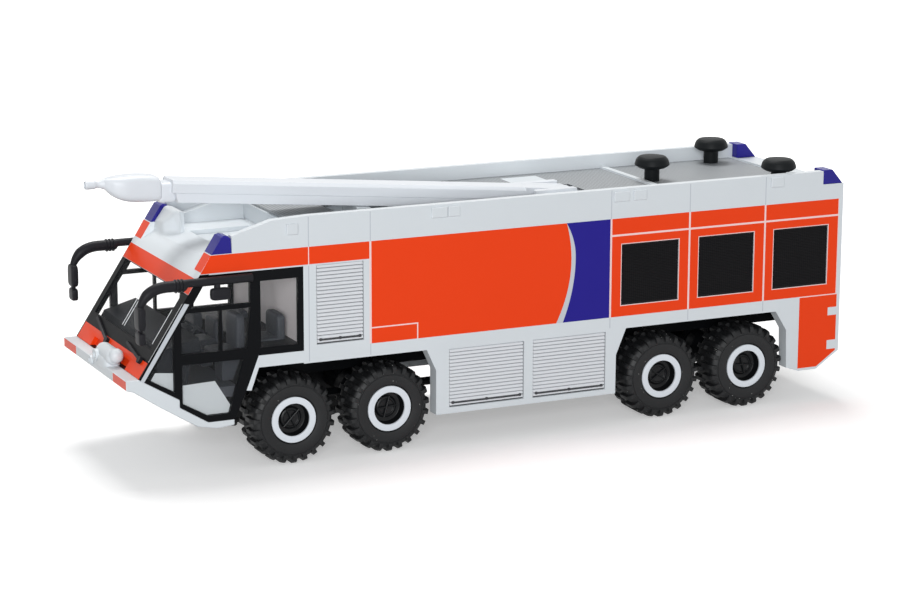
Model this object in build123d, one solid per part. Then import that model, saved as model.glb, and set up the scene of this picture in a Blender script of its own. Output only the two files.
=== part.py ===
from build123d import *
import math
import os

# Scale model, 1:87, of an eight-wheeled airport fire truck.
# Millimetres. +X is forward, +Y is the left side, +Z is up. The origin is on the ground,
# half way along the model and on its centre line. A radius of a many-sided form is
# measured to its flats.

# Overall
body_width = 34.5
half = body_width / 2
rear_x = -70.4
body_front_x = 38.2
cab_length = 29.7
bumper_ledge = 2.3
shell_wall = 1.2

# Wheels
axle_x = [39.9, 21.9, -32.7, -50.7]
wheel_radius = 7.9
tyre_width = 6.7
tyre_inset = 0.6
tyre_face_y = half - tyre_inset
tyre_bead_radius = 4.6
tyre_side_radius = 6.3
tyre_shoulder_radius = 7.1
tyre_shoulder_depth = 0.5
tread_core_radius = 6.7
lug_count = 15
lug_height = 0.5
lug_tip_angle = 6.0
lug_foot_angle = 8.0
wheel_sides = 18
face_inset = 0.5
ring_radius = 4.2
ring_hole_radius = 2.9
ring_thickness = 0.4
recess_depth = 1.4
hub_radius = 1.7
hub_inset = 0.4
axle_radius = 1.0
axle_seat = 3.0
axle_seat_sides = 8
bearing_clearance = 0.06
axle_end_gap = 0.6

# Heights of the body
skirt_z = 5.9
arch_clearance = 2.1
arch_z = 2 * wheel_radius + arch_clearance
floor_z = arch_z + 1.0
trim_top_z = arch_z + 2.3
cab_top_z = 35.0
deck_rise = 5.7
deck_z = cab_top_z + deck_rise
parapet_rise = 3.0
parapet_z = deck_z + parapet_rise
deck_sheet = 1.2
parapet_wall = 1.55

# Where the body meets the cab, and the rear end
roof_joint_x = body_front_x - 1.0
parapet_end_x = rear_x + 4.5
rear_chamfer_x = rear_x + 4.9
rear_chamfer_z = skirt_z + 3.2
tail_opening_half = 13.0
tail_opening_z = 11.5

# Wheel arches: x of each skirt end at its top, its knee and its foot
mid_front_x = axle_x[1] - wheel_radius - 0.75
mid_rear_x = axle_x[2] + wheel_radius + 2.15
tail_front_x = axle_x[3] - wheel_radius - 0.15
mid_skirt_front = [(mid_front_x + 1.8, arch_z), (mid_front_x, 14.0), (mid_front_x, skirt_z)]
mid_skirt_rear = [(mid_rear_x + 0.05, skirt_z), (mid_rear_x, 13.1), (mid_rear_x - 2.0, arch_z)]
rear_skirt_front = [(tail_front_x + 2.35, arch_z), (tail_front_x, 14.1), (tail_front_x - 0.25, skirt_z + 0.9)]
rear_skirt_front += [(tail_front_x - 2.95, skirt_z)]
skirt_return = 2.6
skirt_end_wall = 1.0

# Front plane of the cab: x falls by this much for each millimetre of height
front_slope = 0.653
front_foot_x = body_front_x + cab_length
front_foot_z = 18.2
front_wall = 1.5
bumper_x = front_foot_x + bumper_ledge
bumper_low_z = 16.5
bumper_top_z = 18.2
fascia_z = cab_top_z - 3.1
tower_z = cab_top_z + 3.4
tower_inner_y = half - 3.5
beacon_rise = 3.1

# Roof trough above the cab, laid out from the top of its sloping front
shelf_z = cab_top_z + 0.4
roof_front_x = front_foot_x - front_slope * (shelf_z - front_foot_z)
beacon_rear_x = roof_front_x - 5.6
trough_z = cab_top_z + 2.7
channel_z = trough_z - 0.8
channel_half = 7.0
hump_inner_y = 7.3
hump_top_z = cab_top_z + 6.25
trough_front_x = roof_front_x - 6.67
shelf = [(roof_front_x + 0.13, shelf_z), (roof_front_x - 2.87, shelf_z + 1.66), (trough_front_x, trough_z)]
parapet_slope = [(roof_front_x - 12.9, parapet_z - 0.3), (beacon_rear_x, parapet_z - 2.4)]
ledge_slope = [(roof_front_x - 13.5, deck_z + 0.2), (roof_front_x - 8.2, deck_z - 1.2)]
ledge_slope += [(beacon_rear_x, deck_z - 1.9)]

# Cab frame, sill and glass
frame_wall = 0.8
screen_wall = 0.9
glass_thickness = 0.5
glass_inset = 0.1
windscreen_low_z = 22.7
windscreen_top_z = fascia_z - 0.1
windscreen_half = half - 1.85
front_panel_half = half - 0.35
front_panel_top_z = 20.8
niche_half = 9.5
niche_top_z = 19.7
door_rear_x = body_front_x + 9.7
door_front_x = front_foot_x - 7.6
door_post_x = door_rear_x + 5.35
door_post_half = 0.25
door_foot_x = (body_front_x + 12.8, front_foot_x - 12.15)
door_step_x = front_foot_x - 7.15
sill_z = 9.5
sill_top = [(door_foot_x[0], sill_z), (door_foot_x[1], sill_z), (door_step_x, 12.6), (door_step_x, 13.95)]
sill_top += [(front_foot_x, front_foot_z)]
sill_bottom = [(door_foot_x[0], 8.5), (door_foot_x[1] - 1.65, 8.2), (door_foot_x[1] + 1.95, 8.9)]
sill_bottom += [(front_foot_x - 3.6, 13.0), (bumper_x - 1.3, 16.1)]
trim_leg_x = axle_x[0] + wheel_radius + 1.0
trim_leg = [(trim_leg_x - 2.3, trim_top_z), (trim_leg_x, 14.3), (trim_leg_x - 0.9, 14.2)]
trim_leg += [(trim_leg_x - 2.3, arch_z + 0.2)]

# Side panels: name, low x, high x, low z, high z
shutter_table = [
    ("upper", 27.0, 35.8, 21.0, cab_top_z),
    ("mid_front", -4.0, 10.7, skirt_z + 1.1, arch_z - 0.3),
    ("mid_rear", -20.5, -5.8, skirt_z + 1.0, arch_z - 0.3),
]
grille_table = [
    ("front", -35.3, -23.5, 22.25, 33.5),
    ("middle", -51.2, -39.5, 22.25, 33.5),
    ("rear", -67.25, -55.45, 22.25, 33.5),
]
pocket_depth = 0.6
panel_thickness = 0.45
slat_pitch = 0.88
slat_rise = 0.14
handle_proud = 0.3
grille_ribs = 14
grille_margin = 0.35
grille_rib_depth = 0.18

# Roof deck
rib_x = -37.0
rib_width = 1.2
rib_rise = 0.35
grating_thickness = 0.4
grating_rear_x = rear_x + 5.4
cross_plate_half_width = half - 3.75
slot_front_x = 26.5
slot_rear_x = -23.2
slot_half = 3.3
slot_depth = 3.8
slot_floor_z = deck_z - slot_depth
slot_wall = 1.1

# Vents on the rear deck: x, y
vent_places = [(-39.1, 0.0), (-59.1, half - 4.85), (-59.1, 4.85 - half)]
vent_cap_radius = 3.25
vent_stem_radius = 1.4
vent_rim_z = deck_z + 3.2
vent_cap_height = 2.4
vent_sides = 12

# Boom
boom_tilt = 5.4
boom_pivot_x = -20.6
cross_plate_x = (boom_pivot_x - 0.9, boom_pivot_x + 6.6)
boom_pivot_z = deck_z - 1.1
boom_half = 2.9
boom_pivot_radius = 1.9
boom_front_reach = 77.2
boom_upper_height = 2.2
boom_lower_height = 1.7
boom_lower_inset = 0.15
boom_edge = 0.6
ear_gap_half = 1.45
ear_length = 8.4
ear_sides = 16
pin_radius = 0.7
pin_clearance = 0.06
pin_reach = slot_half + 0.7
rest_low_x = 19.6
rest_high_x = 22.3
rest_gap = 0.1
boom_tip_x = boom_pivot_x + boom_front_reach * math.cos(math.radians(boom_tilt))
boom_tip_z = boom_pivot_z + boom_front_reach * math.sin(math.radians(boom_tilt))

# Nozzle head at the boom's tip
head_length = 11.4
head_half = 2.5
neck_half = 1.4
nozzle_rise = 1.7
nozzle_length = 3.34
nozzle_radius = 0.75
nozzle_sides = 12

# Mirrors
mirror_y = half + 1.15
arm_radius = 0.95
arm_bend = 2.3
arm_z = cab_top_z - 1.1
arm_sides = 6

# Seats: x of the back's rear face, y, width, x and z of the pedestal's foot, cushion z, back's top z
cab_floor_z = 15.2
bench_z = trim_top_z + 1.0
front_seat_x = (body_front_x + 9.1, body_front_x + 12.4)
rear_seat_x = (body_front_x + 0.5, body_front_x + 1.6)
seat_table = [
    (front_seat_x[0], half - 6.65, 5.6, front_seat_x[1], cab_floor_z, 21.3, 28.0),
    (front_seat_x[0], 0.0, 5.6, front_seat_x[1], cab_floor_z, 21.3, 28.0),
    (front_seat_x[0], 6.65 - half, 5.6, front_seat_x[1], cab_floor_z, 21.3, 28.0),
    (rear_seat_x[0], 7.6, 6.0, rear_seat_x[1], bench_z, 24.6, 29.0),
    (rear_seat_x[0], -7.6, 6.0, rear_seat_x[1], bench_z, 24.6, 29.0),
]
seat_length = 6.0
seat_back = 1.2
steering_x = front_foot_x - 12.6
steering_z = 24.6
steering_lean = -35

# Chassis
rail_y = 4.0
rail_width = 1.6
rail_low_z = 12.8
chassis_front_x = trim_leg_x - 1.8
cross_member_x = [-65.0, -41.7, -18.0, 10.0, 30.9, 46.2]
diff_radius = 3.1
diff_half = 1.4
axle_tube_radius = 2.0
axle_sides = 8
shaft_z = 7.43
shaft_radius = 0.7
shaft_gap = 0.05
case_x = (-7.5, -1.0)
belly_z = 6.0
belly_thickness = 0.6

# Tail
cover_half = 11.0
cover_thickness = 0.3
louvre_count = 8
handle_y = half - 2.95
handle_reach = 0.6


def extrude_y(points, y0, y1):
    """Prism of an outline in X and Z, from y0 to y1."""
    plane = Plane(origin=(0, y1, 0), x_dir=(1, 0, 0), z_dir=(0, -1, 0))
    face = plane * make_face(Polyline(*points, close=True))
    return extrude(face, amount=y1 - y0, dir=(0, -1, 0))


def extrude_x(points, x0, x1):
    """Prism of an outline in Y and Z, from x0 to x1."""
    plane = Plane(origin=(x0, 0, 0), x_dir=(0, 1, 0), z_dir=(1, 0, 0))
    face = plane * make_face(Polyline(*points, close=True))
    return extrude(face, amount=x1 - x0, dir=(1, 0, 0))


def block(x0, x1, y0, y1, z0, z1):
    """Box between two corners."""
    size = (x1 - x0, y1 - y0, z1 - z0)
    return Pos((x0 + x1) / 2, (y0 + y1) / 2, (z0 + z1) / 2) * Box(*size)


def section(radius, sides):
    """Round outline, or one with flats all at the radius."""
    if sides == 0:
        return Circle(radius)
    return RegularPolygon(radius, sides, major_radius=False, rotation=180 / sides)


def rod_y(x, z, radius, y0, y1, sides=0):
    """Bar along Y."""
    plane = Plane(origin=(x, y0, z), x_dir=(0, 0, 1), z_dir=(0, 1, 0))
    return extrude(plane * section(radius, sides), amount=y1 - y0)


def rod_x(y, z, radius, x0, x1, sides=0):
    """Bar along X."""
    plane = Plane(origin=(x0, y, z), x_dir=(0, 1, 0), z_dir=(1, 0, 0))
    return extrude(plane * section(radius, sides), amount=x1 - x0)


def rod_z(x, y, radius, z0, z1, sides=0):
    """Bar along Z."""
    return extrude(Plane(origin=(x, y, z0)) * section(radius, sides), amount=z1 - z0)


def turned(profile, sides):
    """Solid turned about Z with flat facets, from a closed profile of radius and height."""
    def corner(k, radius, z):
        angle = math.radians(360 * (k % sides + 0.5) / sides)
        reach = radius / math.cos(math.pi / sides)
        return (reach * math.cos(angle), reach * math.sin(angle), z)

    faces = []
    for (r0, z0), (r1, z1) in zip(profile, profile[1:] + profile[:1]):
        if r0 == 0 and r1 == 0:
            continue
        for k in range(sides):
            corners = [corner(k, r0, z0), corner(k + 1, r0, z0), corner(k + 1, r1, z1), corner(k, r1, z1)]
            faces.append(Face(Wire.make_polygon(list(dict.fromkeys(corners)))))
    return Solid(Shell(faces))


def at_axle(x, shape):
    """Turn a shape built about Z onto an axle's centre line, its +Z to +Y."""
    return Pos(x, 0, wheel_radius) * Rot(-90, 0, 0) * shape


def both_sides(solid):
    """The solid and its mirror image across the centre line."""
    return [solid, mirror(solid, about=Plane.XZ)]


def on_both(solids):
    """The solids of one side and their mirror images."""
    return [copy for solid in solids for copy in both_sides(solid)]


def front_x(z):
    """X of the cab's sloping front at a height."""
    return front_foot_x - front_slope * (z - front_foot_z)


def front_plane(y, z, start=0):
    """Plane on the sloping front, its x along Y, or that far below the surface."""
    lean = math.sqrt(1 + front_slope ** 2)
    normal = (1 / lean, 0, front_slope / lean)
    origin = (front_x(z) - start * normal[0], y, z - start * normal[2])
    return Plane(origin=origin, x_dir=(0, 1, 0), z_dir=normal)


def front_prism(low_z, high_z, half_y, start, depth):
    """Slab lying on the sloping front: it starts below the surface and goes inwards."""
    height = (high_z - low_z) * math.sqrt(1 + front_slope ** 2)
    plane = front_plane(0, (low_z + high_z) / 2, start)
    return extrude(plane * Rectangle(2 * half_y, height), amount=-depth)


def write_node(name, solids):
    """Write one node, as one solid or as several that don't touch."""
    flat = []
    for solid in solids if isinstance(solids, list) else [solids]:
        flat.extend(solid.solids())
    shape = flat[0] if len(flat) == 1 else Compound(children=flat)
    export_step(shape, "parts/" + name + ".step")


# Body shell

def body_shell():
    """Hollow white housing from the cab's back wall to the tail."""
    beacon_foot_z = deck_z + 0.5
    outline = [(body_front_x, arch_z)] + mid_skirt_front + mid_skirt_rear + rear_skirt_front
    outline += [(rear_chamfer_x, skirt_z), (rear_x, rear_chamfer_z), (rear_x, beacon_foot_z)]
    outline += [(parapet_end_x, beacon_foot_z), (parapet_end_x, parapet_z), (roof_joint_x, parapet_z)]
    outline += [(roof_joint_x, cab_top_z), (body_front_x, cab_top_z)]
    shell = extrude_y(outline, -half, half)
    inner_y = half - shell_wall
    lip_y = half - skirt_return
    rear_inner = rear_x + shell_wall
    front_inner = roof_joint_x - shell_wall
    ceiling = deck_z - deck_sheet
    shell -= block(rear_inner, front_inner, -inner_y, inner_y, floor_z, ceiling)
    shell -= block(rear_inner, body_front_x + 1, -inner_y, inner_y, arch_z - 0.01, floor_z)
    shell -= block(rear_inner, body_front_x + 1, -lip_y, lip_y, 0, arch_z)
    shell -= block(rear_x - 1, rear_inner + 1, -tail_opening_half, tail_opening_half, 0, tail_opening_z)
    # Room between the end walls of each skirt, behind its side sheet
    for low_x, high_x in ((mid_rear_x, mid_front_x), (rear_inner - skirt_end_wall, tail_front_x - 0.55)):
        pocket = block(low_x + skirt_end_wall, high_x - skirt_end_wall, lip_y, inner_y, 0, arch_z)
        for piece in both_sides(pocket):
            shell -= piece
    # Deck between the parapets, with the boom's slot and its tub below
    deck_y = half - parapet_wall
    shell -= block(parapet_end_x, roof_joint_x + 1, -deck_y, deck_y, deck_z, parapet_z + 1)
    tub_y = slot_half + slot_wall
    tub_low = slot_floor_z - slot_wall
    shell += block(slot_rear_x - slot_wall, slot_front_x + slot_wall, -tub_y, tub_y, tub_low, ceiling)
    shell -= block(slot_rear_x, slot_front_x, -slot_half, slot_half, slot_floor_z, parapet_z)
    shell -= rod_y(boom_pivot_x, boom_pivot_z, pin_radius, -pin_reach, pin_reach)
    # Pockets for the shutters and grilles
    for name, x0, x1, z0, z1 in shutter_table + grille_table:
        for piece in both_sides(block(x0, x1, half - pocket_depth, half + 1, z0, z1)):
            shell -= piece
    # White trim over the front arch, carried forward below the cab's rear window
    trim = [(body_front_x, arch_z + 0.2), (body_front_x, trim_top_z)] + trim_leg
    for piece in both_sides(extrude_y(trim, inner_y, half)):
        shell += piece
    return shell


# Cab

def cab_roof():
    """White roof over the cab: fascia, corner towers, open trough and the hump on its right."""
    outline = [(roof_joint_x, cab_top_z), (roof_joint_x, parapet_z)] + parapet_slope
    outline += [(beacon_rear_x, tower_z), (front_x(tower_z), tower_z), (front_x(fascia_z), fascia_z)]
    outline += [(front_x(fascia_z) - front_wall, fascia_z), (front_x(cab_top_z) - front_wall, cab_top_z)]
    roof = extrude_y(outline, -half, half)
    past_front = front_foot_x
    behind = roof_joint_x - 1
    above = [(behind, trough_z), (behind, parapet_z + 1), (past_front, parapet_z + 1), (past_front, shelf_z)]
    roof -= extrude_y(above + shelf, -tower_inner_y, tower_inner_y)
    ledge_y = half - parapet_wall
    ledge = [(behind, deck_z + 0.3)] + ledge_slope + [(beacon_rear_x, parapet_z + 1), (behind, parapet_z + 1)]
    roof -= extrude_y(ledge, -ledge_y, ledge_y)
    roof -= block(behind, trough_front_x, -channel_half, channel_half, channel_z, parapet_z)
    inner_y = half - shell_wall
    low_z = fascia_z - 2
    bend_z = cab_top_z - 0.8
    ceiling = cab_top_z + 0.8
    cavity = [(behind, low_z), (front_x(low_z) - front_wall, low_z), (front_x(bend_z) - front_wall, bend_z)]
    cavity += [(roof_front_x - 4.17, ceiling), (behind, ceiling)]
    roof -= extrude_y(cavity, -inner_y, inner_y)
    hump = [(roof_front_x - 2.57, shelf_z + 1.1), (roof_front_x - 2.57, tower_z + 0.67)]
    hump += [(roof_front_x - 4.67, hump_top_z), (roof_front_x - 5.92, hump_top_z - 0.25)]
    hump += [(roof_front_x - 5.92, trough_z - 0.7)]
    corner = [(-6.67, 6.0), (3.3, 6.0), (3.3, 12.7), (-2.27, 10.2)]
    corner += [(-5.07, hump_inner_y), (-6.67, hump_inner_y)]
    corner = [(roof_front_x + x, y) for x, y in corner]
    bevel = extrude(Plane.XY.offset(cab_top_z) * make_face(Polyline(*corner, close=True)), amount=10)
    return roof + mirror(extrude_y(hump, hump_inner_y, tower_inner_y) - bevel, about=Plane.XZ)


def front_beacons():
    """Blue lamps on the two corner towers."""
    top_z = tower_z + beacon_rise
    side = [(beacon_rear_x, tower_z), (front_x(tower_z), tower_z), (front_x(top_z), top_z)]
    side += [(beacon_rear_x + 0.2, top_z - 0.25)]
    lamp = extrude_y(side, tower_inner_y + 0.1, half)
    top = lamp.faces().sort_by(Axis.Z)[-1]
    return both_sides(chamfer(top.edges(), 0.35))


def side_windows():
    """Openings in each side of the cab, as outlines in X and Z."""
    rear = (body_front_x + 1, door_rear_x - 1.85, 21.5, cab_top_z - 1.85)
    upper = (29.5, cab_top_z - 1.85)
    middle = (21.7, 28.75)
    low = (sill_z + 1.15, 13.2, 19.9)
    left_post = door_post_x - door_post_half
    right_post = door_post_x + door_post_half
    return {
        "rear": [(rear[0], rear[2]), (rear[1], rear[2]), (rear[1], rear[3]), (rear[0], rear[3])],
        "door_top": [(door_rear_x, upper[0]), (door_front_x - 1.7, upper[0]),
                     (door_front_x - 4.0, upper[1]), (door_rear_x, upper[1])],
        "door_mid_rear": [(door_rear_x + 0.75, middle[0]), (left_post, middle[0]),
                          (left_post, middle[1]), (door_rear_x, middle[1])],
        "door_mid_front": [(right_post, middle[0]), (door_front_x, middle[0]),
                           (door_front_x, middle[1] - 1.45), (door_front_x - 1.0, middle[1]),
                           (right_post, middle[1])],
        "door_low": [(door_rear_x + 1.35, low[2]), (door_foot_x[0] + 0.9, low[0]),
                     (door_foot_x[1] + 0.05, low[0]), (door_front_x, low[1]), (door_front_x, low[2])],
        "quarter": [(front_foot_x - 6.25, 15.35), (front_foot_x - 1.5, 18.1), (front_foot_x - 6.25, 25.4)],
    }


def cab_frame():
    """Black frame of the cab with its pillars, door posts and openings."""
    outline = [(body_front_x, cab_top_z), (body_front_x, trim_top_z), trim_leg[0], trim_leg[1]]
    outline += sill_top + [(front_x(fascia_z), fascia_z), (front_x(fascia_z) - front_wall, fascia_z)]
    outline += [(front_x(cab_top_z) - front_wall, cab_top_z)]
    frame = extrude_y(outline, -half, half)
    above = cab_top_z + 1
    foot = trim_top_z + 1
    cavity_low = sill_z + 1.1
    panel_top = front_panel_top_z + 0.5
    cavity = [(body_front_x - 1, above), (body_front_x - 1, foot), (trim_leg_x - 1.7, foot)]
    cavity += [(trim_leg_x + 0.9, 14.5), (door_foot_x[0] + 0.8, cavity_low), (door_foot_x[1], cavity_low)]
    cavity += [(door_step_x - 0.75, 13.4), (door_step_x - 0.45, 14.55), (front_foot_x - 2.0, 17.9)]
    cavity += [(front_x(19.4) - front_wall, 19.4), (front_x(panel_top) - front_wall, panel_top)]
    cavity += [(front_x(panel_top) - screen_wall, panel_top), (front_x(above) - screen_wall, above)]
    inner_y = half - frame_wall
    frame -= extrude_y(cavity, -inner_y, inner_y)
    for points in side_windows().values():
        for piece in both_sides(extrude_y(points, inner_y - 1, half + 1)):
            frame -= piece
    frame -= front_prism(windscreen_low_z, windscreen_top_z, windscreen_half, -1, 4)
    return frame - front_panel_blank()


def side_glass():
    """Clear panes in the openings of one side."""
    y1 = half - glass_inset
    return [extrude_y(points, y1 - glass_thickness, y1) for points in side_windows().values()]


def windscreen():
    """Clear pane in the sloping front."""
    return front_prism(windscreen_low_z, windscreen_top_z, windscreen_half, glass_inset, glass_thickness)


def front_panel_blank():
    """Slab below the windscreen band, from the sill up."""
    low = front_foot_z
    points = [(front_x(low), low), (front_x(front_panel_top_z), front_panel_top_z)]
    points += [(front_x(front_panel_top_z) - front_wall, front_panel_top_z), (front_x(low) - front_wall, low)]
    return extrude_y(points, -front_panel_half, front_panel_half)


def front_panel():
    """Orange panel below the windscreen, with a niche behind the bumper nozzle."""
    depth = 0.9
    below = front_foot_z - 0.2
    niche = [(front_x(below) - depth, below), (bumper_x + 1, below), (bumper_x + 1, niche_top_z)]
    niche += [(front_x(niche_top_z) - depth, niche_top_z)]
    return front_panel_blank() - extrude_y(niche, -niche_half, niche_half)


def cab_lower():
    """White pan under the cab: sills, bumper and ledge."""
    points = sill_bottom + [(bumper_x, bumper_low_z), (bumper_x, bumper_top_z)] + sill_top[::-1]
    return extrude_y(points, -half, half)


def cab_floor():
    """Dark floor between the sills."""
    inner_y = half - frame_wall
    low = cab_floor_z - 1.9
    rear = body_front_x + 12.0
    front = front_foot_x - 8.7
    points = [(rear + 0.7, low), (front - 0.9, low), (front, low + 0.8), (front, cab_floor_z)]
    points += [(rear, cab_floor_z), (rear, low + 1.1)]
    return extrude_y(points, -inner_y, inner_y)


def dashboard():
    """Wedge under the windscreen, with the steering wheel."""
    inner_y = half - frame_wall
    points = [(-10.9, 24.3), (-5.0, 22.7), (-3.3, 19.9), (-3.6, 18.9), (-7.0, 15.6), (-8.7, 15.2)]
    points += [(-9.3, 20.6), (-11.5, 21.6)]
    return extrude_y([(front_foot_x + x, z) for x, z in points], -inner_y, inner_y) + steering_wheel()


def steering_wheel():
    """Wheel on its column behind the dash."""
    driver_y = seat_table[0][1]
    rim = turned([(1.85, -0.2), (2.3, -0.2), (2.3, 0.2), (1.85, 0.2)], 12)
    spokes = Box(0.5, 4.0, 0.3)
    column = rod_z(0, 0, 0.4, -2.4, 0.3, 6)
    return Pos(steering_x, driver_y, steering_z) * Rot(0, steering_lean, 0) * (rim + spokes + column)


def seat(x, y, width, foot_x, foot_z, cushion_z, top_z):
    """Seat with a cushion on a pedestal and a leaned back."""
    points = [(foot_x, foot_z), (foot_x + 2.2, foot_z), (x + seat_length - 0.4, cushion_z - 1.2)]
    points += [(x + seat_length, cushion_z), (x + 2.0, cushion_z), (x + seat_back, top_z), (x, top_z)]
    points += [(x + 0.2, cushion_z), (x + 1.0, cushion_z - 1.1), (foot_x, cushion_z - 1.6)]
    solid = extrude_y(points, y - width / 2, y + width / 2)
    top_edges = solid.edges().filter_by(Axis.X).group_by(Axis.Z)[-1]
    return chamfer(top_edges, 1.0)


def seats():
    """Three seats in the front row and two behind."""
    return [seat(*row) for row in seat_table]


# Side panels

def shutter(x0, x1, z0, z1):
    """Roller shutter with slats and a lift bar near its foot."""
    back = half - pocket_depth
    face = back + panel_thickness
    count = round((z1 - z0) / slat_pitch)
    step = (z1 - z0) / count
    points = [(back, z0)]
    for i in range(count):
        points += [(face - slat_rise, z0 + i * step), (face, z0 + (i + 0.55) * step)]
    points += [(face - slat_rise, z1), (back, z1)]
    panel = extrude_x(points, x0, x1)
    bar_z = z0 + 0.55
    for a, b in ((x0 + 0.35, x0 + 1.0), (x1 - 1.0, x1 - 0.35)):
        panel += block(a, b, face - slat_rise, face + handle_proud, bar_z - 0.25, bar_z + 0.25)
    bar_face = face + handle_proud - 0.1
    return panel + block(x0 + 0.9, x1 - 0.9, face - slat_rise, bar_face, bar_z - 0.15, bar_z + 0.15)


def grille(x0, x1, z0, z1):
    """Black intake grille: a plate with fine ribs."""
    back = half - pocket_depth
    face = back + panel_thickness
    step = (z1 - z0 - 2 * grille_margin) / grille_ribs
    points = [(back, z0), (face, z0)]
    for i in range(grille_ribs):
        z = z0 + grille_margin + i * step
        points += [(face, z), (face - grille_rib_depth, z + 0.4 * step)]
    points += [(face, z1 - grille_margin), (face, z1), (back, z1)]
    return extrude_x(points, x0, x1)


def side_lamp_boxes():
    """Small raised boxes along the parapet."""
    low_z = deck_z + 0.4
    boxes = [block(x - 1.1, x + 1.1, half, half + 0.35, low_z, low_z + 1.8)
             for x in (roof_joint_x + 3.4, 13.2, 10.1, -25.2, -27.7, -56.0)]
    return on_both(boxes)


# Roof deck

def deck_gratings():
    """Walkway plates on the deck, in front of and behind the rib."""
    y1 = half - parapet_wall
    z1 = deck_z + grating_thickness
    front = block(rib_x + rib_width / 2, roof_joint_x - 0.4, -y1, y1, deck_z, z1)
    front -= block(slot_rear_x, slot_front_x, -slot_half, slot_half, deck_z - 1, z1 + 1)
    x0, x1 = cross_plate_x
    front -= block(x0, x1, -cross_plate_half_width, cross_plate_half_width, deck_z - 1, z1 + 1)
    rear = block(grating_rear_x, rib_x - rib_width / 2, -y1, y1, deck_z, z1)
    for x, y in vent_places:
        rear -= rod_z(x, y, vent_stem_radius, deck_z - 1, z1 + 1, vent_sides)
    return [front, rear]


def deck_plates():
    """White rib across the deck and the two halves of the boom's cross plate."""
    y1 = half - parapet_wall
    rib_top = deck_z + grating_thickness + rib_rise
    rib = block(rib_x - rib_width / 2, rib_x + rib_width / 2, -y1, y1, deck_z, rib_top)
    x0, x1 = cross_plate_x
    plate = block(x0, x1, slot_half, cross_plate_half_width, deck_z, deck_z + grating_thickness)
    return [rib] + both_sides(plate)


def vent(x, y):
    """Mushroom vent: stem and domed cap."""
    top_z = vent_rim_z + vent_cap_height
    profile = [(0, deck_z), (vent_stem_radius, deck_z), (vent_stem_radius, vent_rim_z)]
    profile += [(vent_cap_radius, vent_rim_z + 0.2), (vent_cap_radius - 0.3, top_z - 0.9)]
    profile += [(vent_cap_radius - 1.3, top_z - 0.1), (0, top_z)]
    return Pos(x, y, 0) * turned(profile, vent_sides)


def rear_beacons():
    """Blue lamps on the two rear corners."""
    low = deck_z + 0.5
    top = parapet_z + 0.2
    points = [(parapet_end_x, low), (rear_x + 0.2, low), (rear_x + 2.5, top), (parapet_end_x, top)]
    return both_sides(extrude_y(points, half - 3.35, half))


# Boom

def tilt(shape):
    """Lay a boom piece, built level along +X from the pivot, at the parked angle."""
    return Pos(boom_pivot_x, 0, boom_pivot_z) * Rot(0, -boom_tilt, 0) * shape


def tilted_height(offset, x):
    """Height at x of a line that lies offset above the boom's axis."""
    angle = math.radians(boom_tilt)
    return boom_pivot_z + offset / math.cos(angle) + (x - boom_pivot_x) * math.tan(angle)


def boom_section(height_top, height_low, edge):
    """Outline of the beam in Y and Z with its upper edges bevelled."""
    h = boom_half
    return [(-h, height_low), (h, height_low), (h, height_top - edge), (h - edge, height_top),
            (edge - h, height_top), (-h, height_top - edge)]


def boom_upper():
    """Upper boom: bevelled beam that ends behind in two ears round the pivot pin."""
    top = boom_pivot_radius
    low = top - boom_upper_height
    beam = extrude_x(boom_section(top, low, boom_edge), ear_length, boom_front_reach)
    ear = rod_y(0, 0, boom_pivot_radius, ear_gap_half, boom_half, ear_sides)
    ear += block(0, ear_length + 1, ear_gap_half, boom_half, low, top)
    for piece in both_sides(ear):
        beam += piece
    beam -= rod_y(0, 0, pin_radius + pin_clearance, -boom_half - 1, boom_half + 1)
    past = boom_pivot_radius + 1
    beam -= block(-past, ear_length, -ear_gap_half, ear_gap_half, -past, past)
    return tilt(beam)


def boom_lower():
    """Lower boom, nested flush under the upper one."""
    top = boom_pivot_radius - boom_upper_height
    low = top - boom_lower_height
    points = [(ear_length + 1.5, top), (boom_front_reach - 0.6, top), (boom_front_reach - 1.2, low)]
    points += [(ear_length + 6, low)]
    width = boom_half - boom_lower_inset
    return tilt(extrude_y(points, -width, width))


def at_tip(shape):
    """Place a shape at the boom's front end, level with the ground."""
    return Pos(boom_tip_x, 0, boom_tip_z) * shape


def boom_head():
    """Nozzle head at the boom's tip, bevelled along its edges, on a neck behind."""
    # Side outline from the rear to the front: x, low z, high z, all from the boom's tip
    outline = [
        (1.35, -1.45, 1.15),
        (2.65, -1.8, 2.55),
        (5.25, -1.65, 3.05),
        (head_length - 3.3, -1.15, 3.05),
        (head_length - 1.1, -0.15, 2.65),
        (head_length, 0.85, 2.55),
    ]
    lows = [(x, low) for x, low, high in outline]
    highs = [(x, high) for x, low, high in outline]
    head = extrude_y(lows + highs[::-1], -head_half, head_half)
    plan = [(1.35, head_half - 0.9), (2.65, head_half), (head_length - 3.3, head_half), (head_length, 0.9)]
    plan += [(x, -y) for x, y in plan[::-1]]
    head &= extrude(Plane.XY.offset(-5) * make_face(Polyline(*plan, close=True)), amount=10)
    neck_side = [(-2.2, -1.15), (1.8, -0.95), (1.8, 0.95), (-2.2, 1.05)]
    neck = at_tip(extrude_y(neck_side, -neck_half, neck_half))
    beam = block(0, boom_front_reach, -boom_half, boom_half, -boom_pivot_radius * 2, boom_pivot_radius)
    return at_tip(head) + (neck - tilt(beam))


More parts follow.
